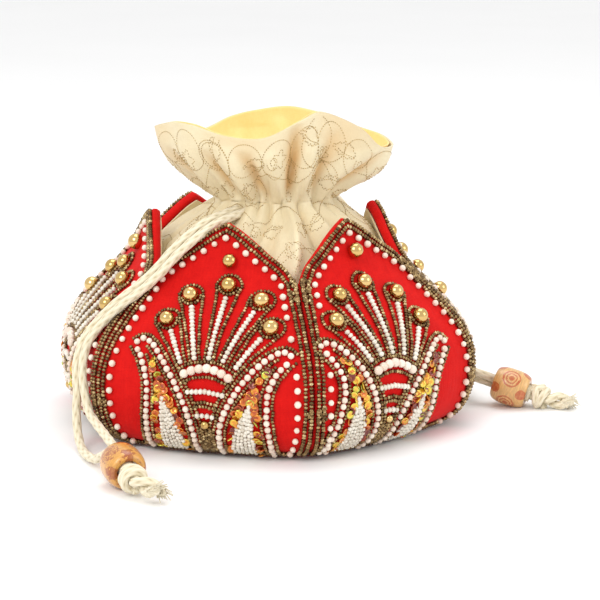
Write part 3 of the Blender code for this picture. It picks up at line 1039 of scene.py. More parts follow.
@dataclass
class Beadwork:
    """Every bead of the six panels, one piece per panel and sort of bead."""

    surface: BodySurface
    motif: Motif = Motif()
    placings: tuple[Placing, ...] = (
        Placing(-1.8 * MM, -2.4 * MM, -7.3, (0.0, 4.1 * MM)), Placing(0.6 * MM, 0.0, 1.0),
        Placing(-0.8 * MM, 0.4 * MM, -1.0), Placing(0.5 * MM, -0.4 * MM, 1.5),
        Placing(-0.6 * MM, 0.0, 0.8), Placing(4.4 * MM, -0.7 * MM, -2.0, (-1.9 * MM, 0.2 * MM)))
    seed_radius: float = 0.94 * MM
    seed_pitch: float = 1.40 * MM
    edge_seed_radius: float = 1.06 * MM
    edge_seed_pitch: float = 1.52 * MM
    white_radius: float = 1.30 * MM
    white_pitch: float = 1.90 * MM
    drop_radius: float = 1.02 * MM
    pearl_radius: float = 1.38 * MM
    horn_pearl_radius: float = 1.36 * MM
    arc_pearl_radius: float = 1.95 * MM
    ball_radius: float = 3.30 * MM
    crown_radius: float = 3.5 * MM
    small_ball_radius: float = 1.9 * MM
    sequin_radius: float = 1.75 * MM
    low: float = 18.5
    # Insets of the border's rows at the tip and at the foot, millimetres.
    border_rows: Points = ((1.3, 1.3), (3.7, 3.4))
    border_pearl_inset: float = 6.4 * MM
    border_pearl_pitch: float = 5.6 * MM
    horn_clear: float = 3.7 * MM
    ball_clear: float = 7.3 * MM
    # A finger, in millimetres: its loop's radius round the ball and half width below
    # it, how far below the ball that is, the short row's radius, and the ray's start.
    loop_radius: float = 5.4
    loop_neck: Pair = (8.0, 4.1)
    loop_waist: float = 0.7
    under_radius: float = 4.15
    ray_start: float = 6.4
    # A horn, in millimetres: its seeds' distance from the pearls, and the white drop.
    horn_seed_shift: float = 2.35
    horn_outer_shift: float = 4.2
    drop_half: float = 4.3
    drop_columns: int = 6

    def __post_init__(self) -> None:
        """Start on the first panel with no beads and a fixed seed."""
        self.rng = np.random.default_rng(11)
        self.store: dict[BeadKind, list[tuple[Array, Array, Array]]] = {}
        self.panel = 1
        self.sewn: Placing | None = None

    # -- laying beads on a panel

    def lay(self, kind: BeadKind, spots: Array, along: Array, radius: Array | float,
            lift: float, stretch: float = 1.0, tilt: float = 0.05) -> None:
        """Record beads at places on the current panel.

        Each bead's own Z runs along its thread and its X stands off the cloth;
        the last is turned a little at random.

        Args:
            kind: Sort of bead.
            spots: Rows of across and up, metres.
            along: Rows of the thread's direction across and up.
            radius: Radius, or one per bead.
            lift: How far the bead's middle stands off the cloth.
            stretch: Length along the thread over the radius.
            tilt: How far the beads are turned at random.
        """
        step = 0.3 * MM
        if self.sewn is not None:
            tips = self.sewn.moved(spots + step * unit(along))
            spots = self.sewn.moved(spots)
            along = tips - spots
        spots = self.inside(spots)
        across, up = spots.T
        centre = self.surface.point(self.panel, across, up, lift)
        out = self.surface.normal(self.panel, across, up)
        ahead = spots + step * unit(along)
        ahead[:, 1] = np.minimum(ahead[:, 1], self.surface.length)
        run = unit(self.surface.point(self.panel, ahead[:, 0], ahead[:, 1], lift) - centre
                   + 1e-9 * self.rng.normal(size=centre.shape))
        run = unit(run + tilt * self.rng.normal(size=run.shape))
        out = unit(out - run * np.sum(out * run, axis=1, keepdims=True))
        size = np.broadcast_to(radius, (len(spots),))[:, None, None]
        size = size * (1.0 + 0.05 * self.rng.normal(size=size.shape))
        frames = np.stack((out, np.cross(run, out), run * stretch), axis=1) * size
        self.store.setdefault(kind, []).append((centre, frames, self.rng.random(len(spots))))

    def inside(self, spots: Array) -> Array:
        """Spots kept a bead's width inside the petal's edge."""
        up = np.minimum(spots[:, 1], self.surface.length)
        reach = self.surface.half_width(up) - 1.0 * MM
        return np.stack((np.clip(spots[:, 0], -reach, reach), up), axis=1)

    def spaced(self, line: Array, pitch: float) -> tuple[Array, Array]:
        """Evenly spaced spots along a line.

        Args:
            line: Rows of across and up.
            pitch: Spacing wanted; the line's length is shared out evenly.

        Returns:
            The spots, and the line's direction at each.
        """
        far = length_along(line)
        count = max(2, int(round(far[-1] / pitch)) + 1)
        spots = read_along(line, far, np.linspace(0.0, far[-1], count))
        return spots, unit(np.gradient(spots, axis=0))

    def seed_row(self, line: Array, edge: bool = False) -> None:
        """A row of bronze seed beads along a line.

        Args:
            line: Rows of across and up, metres.
            edge: Use the bigger beads of the petal's edge.
        """
        radius = self.edge_seed_radius if edge else self.seed_radius
        pitch = self.edge_seed_pitch if edge else self.seed_pitch
        spots, along = self.spaced(line, pitch)
        spots = spots + 0.09 * MM * self.rng.normal(size=spots.shape)
        self.lay(BeadKind.BRONZE, spots, along, radius, 0.80 * radius, 0.43 * pitch / radius,
                 0.09)

    def white_row(self, line: Array) -> None:
        """A row of white seed beads along a line."""
        spots, along = self.spaced(line, self.white_pitch)
        self.lay(BeadKind.WHITE, spots, along, self.white_radius, 0.85 * self.white_radius,
                 0.47 * self.white_pitch / self.white_radius, 0.08)

    def pearls(self, line: Array, pitch: float, radius: float) -> None:
        """Pearls along a line.

        Args:
            line: Rows of across and up, metres.
            pitch: Spacing.
            radius: Radius of a pearl.
        """
        spots, along = self.spaced(line, pitch)
        spots = spots + 0.10 * MM * self.rng.normal(size=spots.shape)
        self.lay(BeadKind.PEARL, spots, along, radius, 0.86 * radius)

    def beside(self, line: Array, shift: float) -> Array:
        """A line moved sideways, to its left where the shift is positive."""
        return line + shift * left_of(unit(np.gradient(line, axis=0)))

    # -- parts of the design

    def border(self) -> None:
        """Two rows of seeds round the petal's edge, and spaced pearls inside them.

        A pearl that would touch a horn's tip or a finger is left out.
        """
        low = self.low * MM
        for inset, foot in self.border_rows:
            self.seed_row(self.surface.outline(inset * MM, low, foot * MM), True)
        spots, along = self.spaced(self.surface.outline(self.border_pearl_inset, low + 1 * MM),
                                   self.border_pearl_pitch)
        placing = self.placings[self.panel - 1]
        horn = curve_through(np.vstack((self.motif.horn_outer[:5], self.motif.horn_inner[:5])), 60)
        horns = placing.moved(np.vstack((horn, horn * (-1, 1))) * MM)
        balls = np.array(self.motif.fan_balls)
        balls = placing.moved(np.vstack((balls, balls * (-1, 1))) * MM)
        for marks, reach in ((horns, self.horn_clear), (balls, self.ball_clear)):
            gaps = np.linalg.norm(spots[:, None, :] - marks[None, :, :], axis=2).min(axis=1)
            spots, along = spots[gaps > reach], along[gaps > reach]
        self.lay(BeadKind.PEARL, spots, along, self.pearl_radius, 0.86 * self.pearl_radius)
        width = float(self.surface.half_width(np.array(low + 2 * MM))) - 6 * MM
        foot = np.array(((-width, low + 0.5 * MM), (width, low + 0.5 * MM)))
        for row in range(2):
            self.seed_row(foot + (0.0, row * 2.2 * MM), True)

    def side_rows(self, side: float) -> None:
        """Short rows of seeds across the seam: the stitches that close it.

        Args:
            side: 1 on the right of the panel, -1 on the left.
        """
        top = self.surface.notch
        for height, count in ((top + 0.5 * MM, 9), (46 * MM, 4)):
            spots = height - np.arange(count) * 1.25 * MM + 0.4 * MM * self.rng.normal(size=count)
            wide = self.surface.half_width(spots)
            for spot, reach in zip(spots, wide):
                drop = self.rng.uniform(-1.6, 1.6) * MM
                self.seed_row(np.array(((side * (reach - self.rng.uniform(2.2, 4.4) * MM),
                                         spot + drop), (side * (reach - 0.4 * MM), spot))), True)

    def finger(self, ball: Array, foot: Array, foot_half: float) -> None:
        """A ball on a ray of white seeds inside a long loop of bronze seeds.

        Args:
            ball: Across and up of the ball, millimetres.
            foot: Where the ray ends below.
            foot_half: Half width of the loop at its foot.
        """
        run = unit(ball - foot)
        left = np.array((-run[1], run[0]))
        turn = np.linspace(-0.15 * math.pi, 1.15 * math.pi, 24)[:, None]
        head = ball + self.loop_radius * (np.cos(turn) * left * -1.0 + np.sin(turn) * run)
        neck, neck_half = ball - run * self.loop_neck[0], self.loop_neck[1]
        waist, waist_half = (foot + neck) / 2, foot_half + self.loop_waist
        loop = np.vstack((foot - left * foot_half, waist - left * waist_half,
                          neck - left * neck_half, head, neck + left * neck_half,
                          waist + left * waist_half, foot + left * foot_half))
        self.seed_row(curve_through(loop, 90) * MM)
        under = np.linspace(1.05 * math.pi, 1.95 * math.pi, 16)[:, None]
        self.seed_row((ball + self.under_radius * (np.cos(under) * left * -1.0
                                                   + np.sin(under) * run)) * MM)
        self.white_row(np.vstack((ball - run * self.ray_start, foot + run * 0.8)) * MM)
        self.lay(BeadKind.GOLD, ball[None] * MM, run[None], self.ball_radius,
                 0.62 * self.ball_radius, 1.0, 0.0)

    def fan(self) -> None:
        """Five fingers, the pearls at their feet and the short rows below."""
        motif = self.motif
        for ball, foot, half in zip(motif.fan_balls, motif.fan_feet, motif.fan_foot_half):
            for side in (1.0, -1.0) if ball[0] else (1.0,):
                self.finger(np.array(ball) * (side, 1.0), np.array(foot) * (side, 1.0), half)

        def whole(half_line: Points, count: int) -> Array:
            """A half line and its mirror image as one."""
            right = np.array(half_line)
            return curve_through(np.vstack((right[:0:-1] * (-1, 1), right)), count) * MM

        self.seed_row(whole(motif.arc_above, 40))
        self.seed_row(whole(motif.arc_below, 40))
        spots, along = self.spaced(whole(motif.pearl_arc, 30), 3.55 * MM)
        self.lay(BeadKind.PEARL, spots, along, self.arc_pearl_radius, 0.8 * self.arc_pearl_radius)
        for wide, high, sag in ((7.4, 53.4, 0.9), (3.2, 43.2, 0.3)):
            self.white_row(np.array(((-wide, high - sag), (0, high), (wide, high - sag))) * MM)
        for wide, high in ((5.0, 48.6), (5.6, 46.8)):
            self.seed_row(np.array(((-wide * 0.85, high - 0.5), (0, high + 0.3),
                                    (wide * 0.85, high - 0.5))) * MM)
        crown = np.array(motif.crown_ball) * MM + self.sewn.crown
        for spot, size in ((crown, self.crown_radius),
                           (np.array((0.0, 39.2)) * MM, self.small_ball_radius)):
            self.lay(BeadKind.GOLD, spot[None], np.array(((0.0, 1.0),)), size, 0.62 * size,
                     1.0, 0.0)
        for shift in (-2.3, 0.0, 2.3):
            self.seed_row(np.array(((shift * 0.9, 36.4), (shift, self.low))) * MM)

    def horn(self, side: float) -> None:
        """One curved horn: two pearl lines with seeds beside them, and its filling.

        Args:
            side: 1 on the right of the panel, -1 on the left.
        """
        motif, mirror = self.motif, np.array((side, 1.0))
        lines = [curve_through(points, 160) * MM * mirror
                 for points in (motif.horn_outer, motif.horn_inner)]
        for line, first, inwards in zip(lines, (3, 9), (side, -side)):
            self.pearls(line[first:], 2.95 * MM, self.horn_pearl_radius)
            self.seed_row(self.beside(line[20:], inwards * self.horn_seed_shift * MM))
            self.seed_row(self.beside(line, -inwards * self.horn_seed_shift * MM))
        self.seed_row(self.beside(lines[0][50:], -side * self.horn_outer_shift * MM))
        self.filling(lines, mirror)

    def filling(self, lines: list[Array], mirror: Array) -> None:
        """What a horn holds: a drop of white seeds, and sequins round it.

        The drop's half width is a sine of the share of its length.  The
        sequins lie in staggered rows between the two pearl lines.

        Args:
            lines: The horn's outer and inner line, metres.
            mirror: 1 or -1 across for the horn's side, and 1 up.
        """
        axis = curve_through(self.motif.drop_axis, 15)
        run = unit(np.gradient(axis, axis=0))
        across = left_of(run)
        share = np.linspace(0.0, 1.0, len(axis))
        half = self.drop_half * np.sin(np.clip(share * 1.1, 0.0, 1.0) * math.pi / 2) ** 0.9
        columns = np.linspace(-1.0, 1.0, self.drop_columns)
        drop = (axis[:, None, :] + across[:, None, :] * (half[:, None] * columns[None, :])[..., None]
                + run[:, None, :] * 0.25 * np.sin(columns * 9.0)[None, :, None]).reshape(-1, 2)
        spots = (drop + 0.12 * self.rng.normal(size=drop.shape)) * MM * mirror
        lean = self.rng.normal(size=spots.shape) * 0.35 + mirror * (1.0, 0.4)
        self.lay(BeadKind.WHITE, spots, lean, self.drop_radius, 1.0 * MM, 0.8, 0.3)
        rows = np.arange(self.low + 3.5, 65.0, 2.0)
        cells = np.stack(np.meshgrid(np.arange(3.0, 32.0, 2.3), rows), axis=-1)
        cells[1::2, :, 0] += 1.15
        cells = cells.reshape(-1, 2) + 0.45 * self.rng.normal(size=(cells.size // 2, 2))
        outer, inner = (np.array(line / MM * mirror)[np.argsort(line[:, 1])] for line in lines)
        left = np.interp(cells[:, 1], outer[:, 1], outer[:, 0]) + 4.0
        right = np.interp(cells[:, 1], inner[:, 1], inner[:, 0]) - 3.4
        spine = np.interp(cells[:, 1], axis[::-1, 1], axis[::-1, 0])
        wide = np.interp(cells[:, 1], axis[::-1, 1], half[::-1], right=-3.0)
        clear = np.abs(cells[:, 0] - spine) > wide + 0.9
        cells = cells[(cells[:, 0] > left) & (cells[:, 0] < right) & clear] * MM * mirror
        lean = self.rng.normal(size=cells.shape)
        self.lay(BeadKind.SEQUIN, cells, lean, self.sequin_radius, 0.9 * MM, 1.0, 0.55)

    # -- pieces

    def unit_shapes(self) -> dict[BeadKind, Shape]:
        """One bead of each sort, of radius one, its thread along Z.

        Seeds are short barrels, pearls and balls are balls, and a sequin is a
        shallow cup that faces along X.

        Returns:
            The shapes.
        """
        barrel = turned(np.array(((0, -1.0), (0.55, -1.0), (1.0, -0.1), (0.55, 1.0),
                                  (0, 1.0))), 7)
        cup = turned(np.array(((0, 0.10), (0.62, 0.10), (1.0, 0.30), (1.0, 0.42), (0.5, 0.26),
                               (0, 0.20))), 9)
        cup.verts = cup.verts[:, (2, 0, 1)]
        # The tint rises towards the cup's rim: rims lean to the painted glint colours, middles to
        # the darker red.
        cup.tint = 0.34 * np.hypot(cup.verts[:, 1], cup.verts[:, 2]) - 0.30
        return {BeadKind.BRONZE: barrel, BeadKind.WHITE: barrel, BeadKind.PEARL: ball(9, 6),
                BeadKind.SEQUIN: cup, BeadKind.GOLD: ball(20, 14)}

    def build(self, shop: Workshop) -> None:
        """Lay the design on each panel and make its pieces.

        Args:
            shop: Gives the finishes.
        """
        shapes = self.unit_shapes()
        finishes = {BeadKind.BRONZE: Finish.BRONZE, BeadKind.PEARL: Finish.PEARL,
                    BeadKind.WHITE: Finish.WHITE, BeadKind.SEQUIN: Finish.SEQUIN,
                    BeadKind.GOLD: Finish.GOLD}
        for panel, placing in enumerate(self.placings, 1):
            self.panel, self.sewn, self.store = panel, None, {}
            self.border()
            for side in (1.0, -1.0):
                self.side_rows(side)
            self.sewn = placing
            self.fan()
            for side in (1.0, -1.0):
                self.horn(side)
            for kind, parts in self.store.items():
                centres, frames, tint = (np.concatenate(p) for p in zip(*parts))
                piece = shapes[kind].copies(centres, frames, tint).build(
                    f"{kind.value}_{panel}", shop.get(finishes[kind]))
                attach(piece, "bag",
                       f"crown_bead_{panel}" if kind is BeadKind.GOLD else None)


# ---- collar and lining

@dataclass
class Collar:
    """The gathered collar and the lining that follows it inside."""

    surface: BodySurface
    neck: Pair = (3.9 * MM, -0.8 * MM)
    neck_radius: float = 24.0 * MM
    neck_height: float = 99.0 * MM
    thick: float = 0.8 * MM
    lower: Points = (
        (61, 66.5), (56.5, 71), (51, 76), (45, 81.5), (37.5, 87.5), (30, 92.5), (25.3, 96),
        (24, 99))
    flare: Points = ((0.0, 0.0), (0.05, 0.07), (0.20, 0.18), (0.40, 0.30), (0.62, 0.44),
                     (0.82, 0.60), (0.94, 0.79), (1.0, 1.0))
    rim: Points = (
        (-100, 52.7, 129.7), (-87, 48, 132.7), (-65, 44.7, 133.6), (-40, 42, 129.3),
        (-19, 39.5, 129), (-1, 37.8, 133.9), (21, 36.5, 139.2), (36, 40, 135.9), (48, 44.5, 130.7),
        (60, 47.5, 123.2), (71, 50, 120.8), (79, 52.6, 121.3), (88, 51, 123.5), (107, 45.3, 126.3),
        (138, 39, 132.2), (156, 37.8, 134.1), (177, 38.5, 132.6), (198, 39.5, 129.8),
        (215, 41.5, 125.3), (240, 47, 125))
    # Folds: angle, half width in radians, outward push in millimetres, the heights
    # between which they run, and how far they lean sideways, degrees.
    folds: Points = (
        (2, 0.085, -5.5, 99, 137, 2), (-8, 0.08, 3, 97, 124, -14),
        (-24, 0.075, -3.6, 99, 124, -16), (-36, 0.09, 3.2, 98, 126, -12),
        (-52, 0.08, -3, 100, 124, -8), (14, 0.09, 3, 98, 128, 6), (28, 0.10, -2.2, 101, 132, 8),
        (41, 0.09, 2.6, 98, 122, 12), (54, 0.08, -3.4, 100, 120, 16), (68, 0.12, 2.4, 99, 118, 8),
        (-72, 0.13, 2.6, 99, 126, -6), (-90, 0.08, -2.6, 100, 122, 0), (92, 0.08, -3, 100, 118, 6),
        (108, 0.12, 2.6, 98, 122, 4), (126, 0.08, -3.2, 99, 128, 0), (143, 0.12, 2.8, 98, 126, -4),
        (160, 0.08, -3, 99, 130, 3), (178, 0.12, 2.6, 98, 126, 0), (196, 0.08, -3.2, 99, 124, -4),
        (214, 0.12, 2.6, 98, 120, 2), (232, 0.08, -3, 99, 120, 4), (250, 0.11, 2.4, 98, 122, 0),
        (1, 0.075, 4.2, 70, 95, 4), (-12, 0.06, -2.4, 74, 97, 8), (-32, 0.16, 3.6, 84, 102, 10),
        (-20, 0.05, -2.8, 78, 101, 12), (16, 0.06, -2.8, 74, 98, -8), (27, 0.06, 2.2, 74, 98, -12),
        (38, 0.06, -2.6, 74, 98, -10), (50, 0.08, 2.2, 74, 98, -6), (-46, 0.06, -2.2, 74, 97, 6),
        (-60, 0.08, 2, 72, 97, 4), (64, 0.06, -2.2, 74, 96, 0), (84, 0.10, 2.2, 72, 96, 0),
        (104, 0.06, -2.2, 74, 96, 4), (120, 0.09, 2.2, 72, 96, 0), (142, 0.06, -2.2, 74, 96, -4),
        (165, 0.10, 2.4, 72, 96, 4), (188, 0.06, -2.2, 74, 96, 0), (206, 0.09, 2.2, 72, 96, -4),
        (226, 0.06, -2.2, 74, 96, 0), (250, 0.09, 2.2, 72, 96, 4), (272, 0.06, -2, 74, 96, 0))
    cup: Points = (
        (55.2, 63), (65.5, 54.5), (75.5, 43.5), (80, 30), (79.5, 18.5), (76, 11.6), (69, 8.4),
        (55, 7.2), (28, 6.6))
    lining_step: float = 1.25 * MM
    lining_thick: float = 0.6 * MM
    cinch: float = 8.0 * MM
    columns: int = 288
    flat: Pair = (0.33, 0.092)
    lining_flat: Pair = (0.46, 0.150)

    def middle(self, pleated: bool = True) -> tuple[Array, Array, Array, Array]:
        """Rows of the collar's middle surface as radius and height about the neck.

        Below the neck the rows follow one path all round, drawn towards the
        six-sided body; above it they open from the neck to the rim by the
        flare's shares.  Pleats and folds push them outwards along the profile.

        Args:
            pleated: Add the pleats and folds.

        Returns:
            Angles, radius, height, and how far each row follows the neck.
        """
        turn = turn_angles(self.columns)
        low = curve_through(self.lower, 44) * MM
        rim = around(self.rim, np.degrees(turn)) * MM
        flare = curve_through(self.flare, 52)[1:]
        bottom = np.clip((85.0 * MM - low[:, 1]) / (18.0 * MM), 0.0, 1.0)
        six_sided = 1.0 + (self.surface.flatness(turn)[None, :] - 1.0) * bottom[:, None]
        radius = np.vstack((low[:, :1] * six_sided, self.neck_radius
                            + (rim[:, 0] - self.neck_radius)[None, :] * flare[:, :1]))
        height = np.vstack((low[:, 1:2] + np.zeros_like(six_sided), self.neck_height
                            + (rim[:, 1] - self.neck_height)[None, :] * flare[:, 1:2]))
        if pleated:
            radius, height = self.pushed(radius, height, self.push(turn, height))
        shift = np.clip((height - 70.0 * MM) / (22.0 * MM), 0.0, 1.0)
        return turn, radius, height, shift

    def push(self, turn: Array, height: Array) -> Array:
        """How far the cloth stands out at each angle and height.

        Pleats round the neck are the absolute value of a sine with an uneven
        pitch, so that their creases are sharp and their backs round, fading
        away from the neck; each fold is a bell across the angle times a smooth
        rise and fall between two heights.

        Args:
            turn: Angles of the columns.
            height: Height grid.

        Returns:
            Outward push, metres.
        """
        from_neck = (height - self.neck_height) / MM
        lean = 0.012 * from_neck
        warp = 0.22 * np.sin(3 * turn + 0.8) + 0.13 * np.sin(7 * turn + 2.0)
        pleat = np.abs(np.sin(11.5 * (turn + warp * 0.35)[None, :] + lean)) ** 0.7
        fine = np.abs(np.sin(19.0 * turn + 2.2 * np.sin(2 * turn) + 1.0)[None, :] - 0.2 * lean)
        fade = np.exp(-np.abs(from_neck / np.where(from_neck > 0, 12.5, 10.5)) ** 1.6)
        total = fade * (2.7 * pleat - 1.0) + 0.6 * fine * np.exp(-np.abs(from_neck / 16.0) ** 2)
        for angle, half, size, low, high, lean in self.folds:
            share = np.clip((height / MM - low) / (high - low), 0.0, 1.0)
            middle = np.radians(angle + lean * (share - 0.4))
            off = (turn[None, :] - middle + math.pi) % (2 * math.pi) - math.pi
            wide = half * (0.75 + 0.6 * share)
            rise = np.sin(math.pi * share ** 0.75) ** 0.8
            total = total + size * np.exp(-np.abs(off / wide) ** 1.7) * rise
        wave = np.sin(5 * turn + 1.3)[None, :] * np.clip((from_neck - 8.0) / 30.0, 0.0, 1.0)
        return (total + 0.8 * wave) * MM

    def pushed(self, radius: Array, height: Array, amount: Array | float) -> tuple[Array, Array]:
        """Rows moved along their outward normal in the profile's plane.

        Args:
            radius: Radius grid.
            height: Height grid.
            amount: How far each point moves.

        Returns:
            The moved radius and height.
        """
        run_r, run_z = np.gradient(radius, axis=0), np.gradient(height, axis=0)
        size = np.hypot(run_r, run_z)
        return radius + amount * run_z / size, height - amount * run_r / size

    def points(self, turn: Array, radius: Array, height: Array, shift: Array) -> Array:
        """Points of turned rows whose centre moves from the body's to the neck's."""
        spots = place(radius, turn[None, :], height)
        return spots + shift[..., None] * np.array((*self.neck, 0.0))

    def cloth(self, name: str, skins: tuple[Array, Array], far: Array, closed: bool,
              material: Material, fold_shade_share: Array | None = None) -> Piece:
        """A turned sheet of cloth with an outer and an inner skin.

        Args:
            name: Name of the piece.
            skins: Outer and inner point grids.
            far: Distance up the cloth for each row, for the UV map.
            closed: The lowest rows close on the axis instead of in a hem.
            material: Its finish.
            fold_shade_share: How much painted shade each point gets, by how far into the valleys of
                folds it lies, 0 to 1.

        Returns:
            The piece.
        """
        rows, cols = skins[0].shape[:2]
        loop = np.concatenate((skins[0], skins[1][::-1])).reshape(-1, 3)
        wide = np.arange(cols) / cols * self.flat[0]
        uv = np.stack(np.broadcast_arrays(wide[None, :], far[:, None]), axis=-1)
        uv = np.concatenate((uv, uv[::-1])).reshape(-1, 2)
        body = Shape(loop, grid_quads(2 * rows, cols, loop=not closed), uv=uv,
                     wrap=self.flat[0])
        # The painted shade of the folds goes to the finish as the tint.
        if fold_shade_share is not None:
            body.tint = np.concatenate((fold_shade_share, fold_shade_share[::-1])).ravel()
        if closed:
            tips = np.array([[0.0, 0.0, skin[0, :, 2].mean()] for skin in skins])
            body.verts = np.vstack((loop, tips))
            body.uv = np.vstack((uv, (0.0, 0.0), (0.0, 0.0)))
            body.tris = pole_faces(2 * rows, cols)
        return body.build(name, material)

    def build(self, shop: Workshop) -> None:
        """Make the collar and its gold thread, then the lining.

        Args:
            shop: Gives the finishes.
        """
        turn, radius, height, shift = self.middle()
        skins = tuple(self.points(turn, *self.pushed(radius, height, d), shift)
                      for d in (self.thick / 2, -self.thick / 2))
        path = np.hypot(np.gradient(radius, axis=0), np.gradient(height, axis=0)).mean(axis=1)
        far = np.cumsum(path)
        push = self.push(turn, height) / MM
        # Painted shade: more in the valleys of folds, where the cloth is pushed in, and stronger
        # above the neck.
        fold_shade_share = np.clip((0.4 - push) / 3.2, 0.0, 1.0) * np.clip((height / MM - 96) / 10, 0.25, 1.0)
        collar = self.cloth("gathered_collar", skins, far, False, shop.get(Finish.BROCADE), fold_shade_share)
        attach(collar, "bag", "collar")
        ThreadWork(skins[0], far, self.flat[0]).build(shop)
        self.build_lining(shop)

    def build_lining(self, shop: Workshop) -> None:
        """Make the lining: a cup inside the petals that follows the collar up.

        Args:
            shop: Gives the finishes.
        """
        turn, radius, height, shift = self.middle(pleated=False)
        push = 0.9 * np.minimum(self.push(turn, height), 0.0)
        away = np.maximum((height - 101 * MM) / (8 * MM), (96 * MM - height) / (6 * MM))
        push = push * np.clip(away, 0.0, 1.0) - self.lining_step
        radius, height = self.pushed(radius, height, push)
        near = np.exp(-((height - self.neck_height) / (12.0 * MM)) ** 2)
        ripple = 0.8 * MM * np.sin(16 * turn + np.sin(3 * turn))[None, :]
        radius = radius - (self.cinch + ripple) * near
        cup = curve_through(self.cup, 40)[::-1] * MM
        level = np.ones((1, len(turn)))
        radius = np.vstack((cup[:, :1] * level, radius))
        height = np.vstack((cup[:, 1:2] * level, height))
        shift = np.vstack((np.zeros((len(cup), len(turn))), shift))
        half = self.lining_thick / 2
        skins = tuple(self.points(turn, *self.pushed(radius, height, d), shift)
                      for d in (half, -half))
        path = np.hypot(np.gradient(radius, axis=0), np.gradient(height, axis=0)).mean(axis=1)
        lining = self.cloth("satin_lining", skins, np.cumsum(path), True,
                            shop.get(Finish.LINING))
        attach(lining, "bag", "lining")


@dataclass
class ThreadWork:
    """Gold running stitches in scrolls and leaves on the collar.

    The lines are drawn on the flat cloth, in metres round and up it, and each
    stitch is a small raised grain laid on the gathered surface.
    """

    skin: Array
    far: Array
    width: float
    pitch: float = 1.18 * MM
    stitch: float = 0.78 * MM
    thread: float = 0.20 * MM
    vines: Points = ((16.0, 7, 0.4), (41.0, 8, 2.0), (62.0, 9, 4.0))
    rim_rings: int = 18
    leaf_columns: int = 11

    def lines(self) -> list[Array]:
        """The design: vines, a chain of rings under the rim, and scattered leaves.

        A vine is a sine; a ring is a circle; a leaf is two arcs whose width is
        a sine of the share of its length, with small scallops and a vein; a
        curl's radius shrinks as it turns; a blossom's radius swells five times
        round.  Some leaves have a big ring or a blossom as well.

        Returns:
            Lines of points, round and up the cloth in millimetres.
        """
        rng = np.random.default_rng(5)
        wide, high = self.width / MM, float(self.far[-1]) / MM
        across = np.linspace(0.0, wide, 500)
        found = [np.stack((across, base + 5.5 * np.sin(2 * math.pi * across / wide * waves + lag)),
                          axis=1)
                 for base, waves, lag in self.vines]
        angle = np.linspace(0.0, 2 * math.pi, 80)
        share = np.linspace(0.0, 1.0, 50)
        ring_radius = wide / (2 * self.rim_rings)
        for number in range(self.rim_rings):
            middle = np.array(((2 * number + 1) * ring_radius, high - ring_radius - 2.5
                               + 1.2 * math.sin(2.4 * number)))
            found.append(middle + ring_radius * round_spots(angle, 0.92))
        for column in range(self.leaf_columns):
            for row, level in enumerate((12.0, 34.0, 54.0, high - 13.0)):
                centre = np.array(((column + 0.5 * (row % 2)) * wide / self.leaf_columns
                                   + rng.uniform(-3, 3), level + rng.uniform(-3, 3)))
                if (column + row) % 3 == 0:
                    size = rng.uniform(8.0, 11.0)
                    found.append(centre + size * round_spots(angle, 0.9))
                lean = rng.uniform(0, 2 * math.pi)
                axis = np.array((math.cos(lean), math.sin(lean)))
                side = np.array((-axis[1], axis[0]))
                long = rng.uniform(11.0, 15.0)
                for hand in (1.0, -1.0):
                    scallop = 3.2 * np.sin(math.pi * share ** 0.8) + 0.45 * np.sin(share * 34)
                    bend = 2.5 * share**2
                    found.append(centre + axis * (share * long)[:, None]
                                 + side * (hand * scallop + bend)[:, None])
                vein = 1.6 * np.sin(math.pi * share)
                found.append(centre + axis * (share * 0.8 * long)[:, None]
                             + side * (vein + 0.8 * bend)[:, None])
                curl = 3.4 * (1 - 0.72 * share)
                found.append(centre - axis * 5.0
                             + curl[:, None] * round_spots(lean + 7.5 * share))
                if (column + row) % 2:
                    radius = 3.4 * (1 + 0.28 * np.cos(5 * angle))
                    found.append(centre - axis * 9.0 + radius[:, None] * round_spots(angle))
        return found

    def on_cloth(self, spots: Array) -> Array:
        """Points of the cloth's outer skin, read between the grid's points.

        Args:
            spots: Round and up the flat cloth, metres.

        Returns:
            Points in the bag's frame.
        """
        rows, cols = self.skin.shape[:2]
        i = np.interp(spots[:, 1], self.far, np.arange(rows))
        j = (spots[:, 0] / self.width % 1.0) * cols
        i0 = np.minimum(i.astype(int), rows - 2)
        j0 = j.astype(int) % cols
        a, b = (i - i0)[:, None], (j - j.astype(int))[:, None]
        j1 = (j0 + 1) % cols
        return ((self.skin[i0, j0] * (1 - b) + self.skin[i0, j1] * b) * (1 - a)
                + (self.skin[i0 + 1, j0] * (1 - b) + self.skin[i0 + 1, j1] * b) * a)

    def build(self, shop: Workshop) -> None:
        """Lay the stitches along every line.

        Args:
            shop: Gives the finishes.
        """
        starts = []
        for line in self.lines():
            line = line * MM
            far = length_along(line)
            want = np.arange(0.5 * self.pitch, far[-1], self.pitch)
            spots = read_along(line, far, want)
            ahead = read_along(line, far, want + 0.3 * MM)
            inside = (spots[:, 1] > 2 * MM) & (spots[:, 1] < self.far[-1] - 1.5 * MM)
            starts.append(np.hstack((spots, ahead))[inside])
        every = np.concatenate(starts)
        here, there = self.on_cloth(every[:, :2]), self.on_cloth(every[:, 2:])
        step = np.array((0.4 * MM, 0.0)), np.array((0.0, 0.4 * MM))
        out = unit(np.cross(self.on_cloth(every[:, :2] + step[0]) - here,
                            self.on_cloth(every[:, :2] + step[1]) - here))
        run = unit(there - here + 1e-9)
        side = unit(np.cross(out, run))
        frames = np.stack((side * self.thread, out * self.thread, run * self.stitch / 2), axis=1)
        grain = turned(np.array(((0, -1.0), (0.8, -0.55), (0.8, 0.55), (0, 1.0))), 4)
        tint = np.random.default_rng(3).random(len(here))
        piece = grain.copies(here + out * self.thread * 0.4, frames, tint).build(
            "gold_thread_scrolls", shop.get(Finish.THREAD))
        attach(piece, "bag")


# ---- drawcords

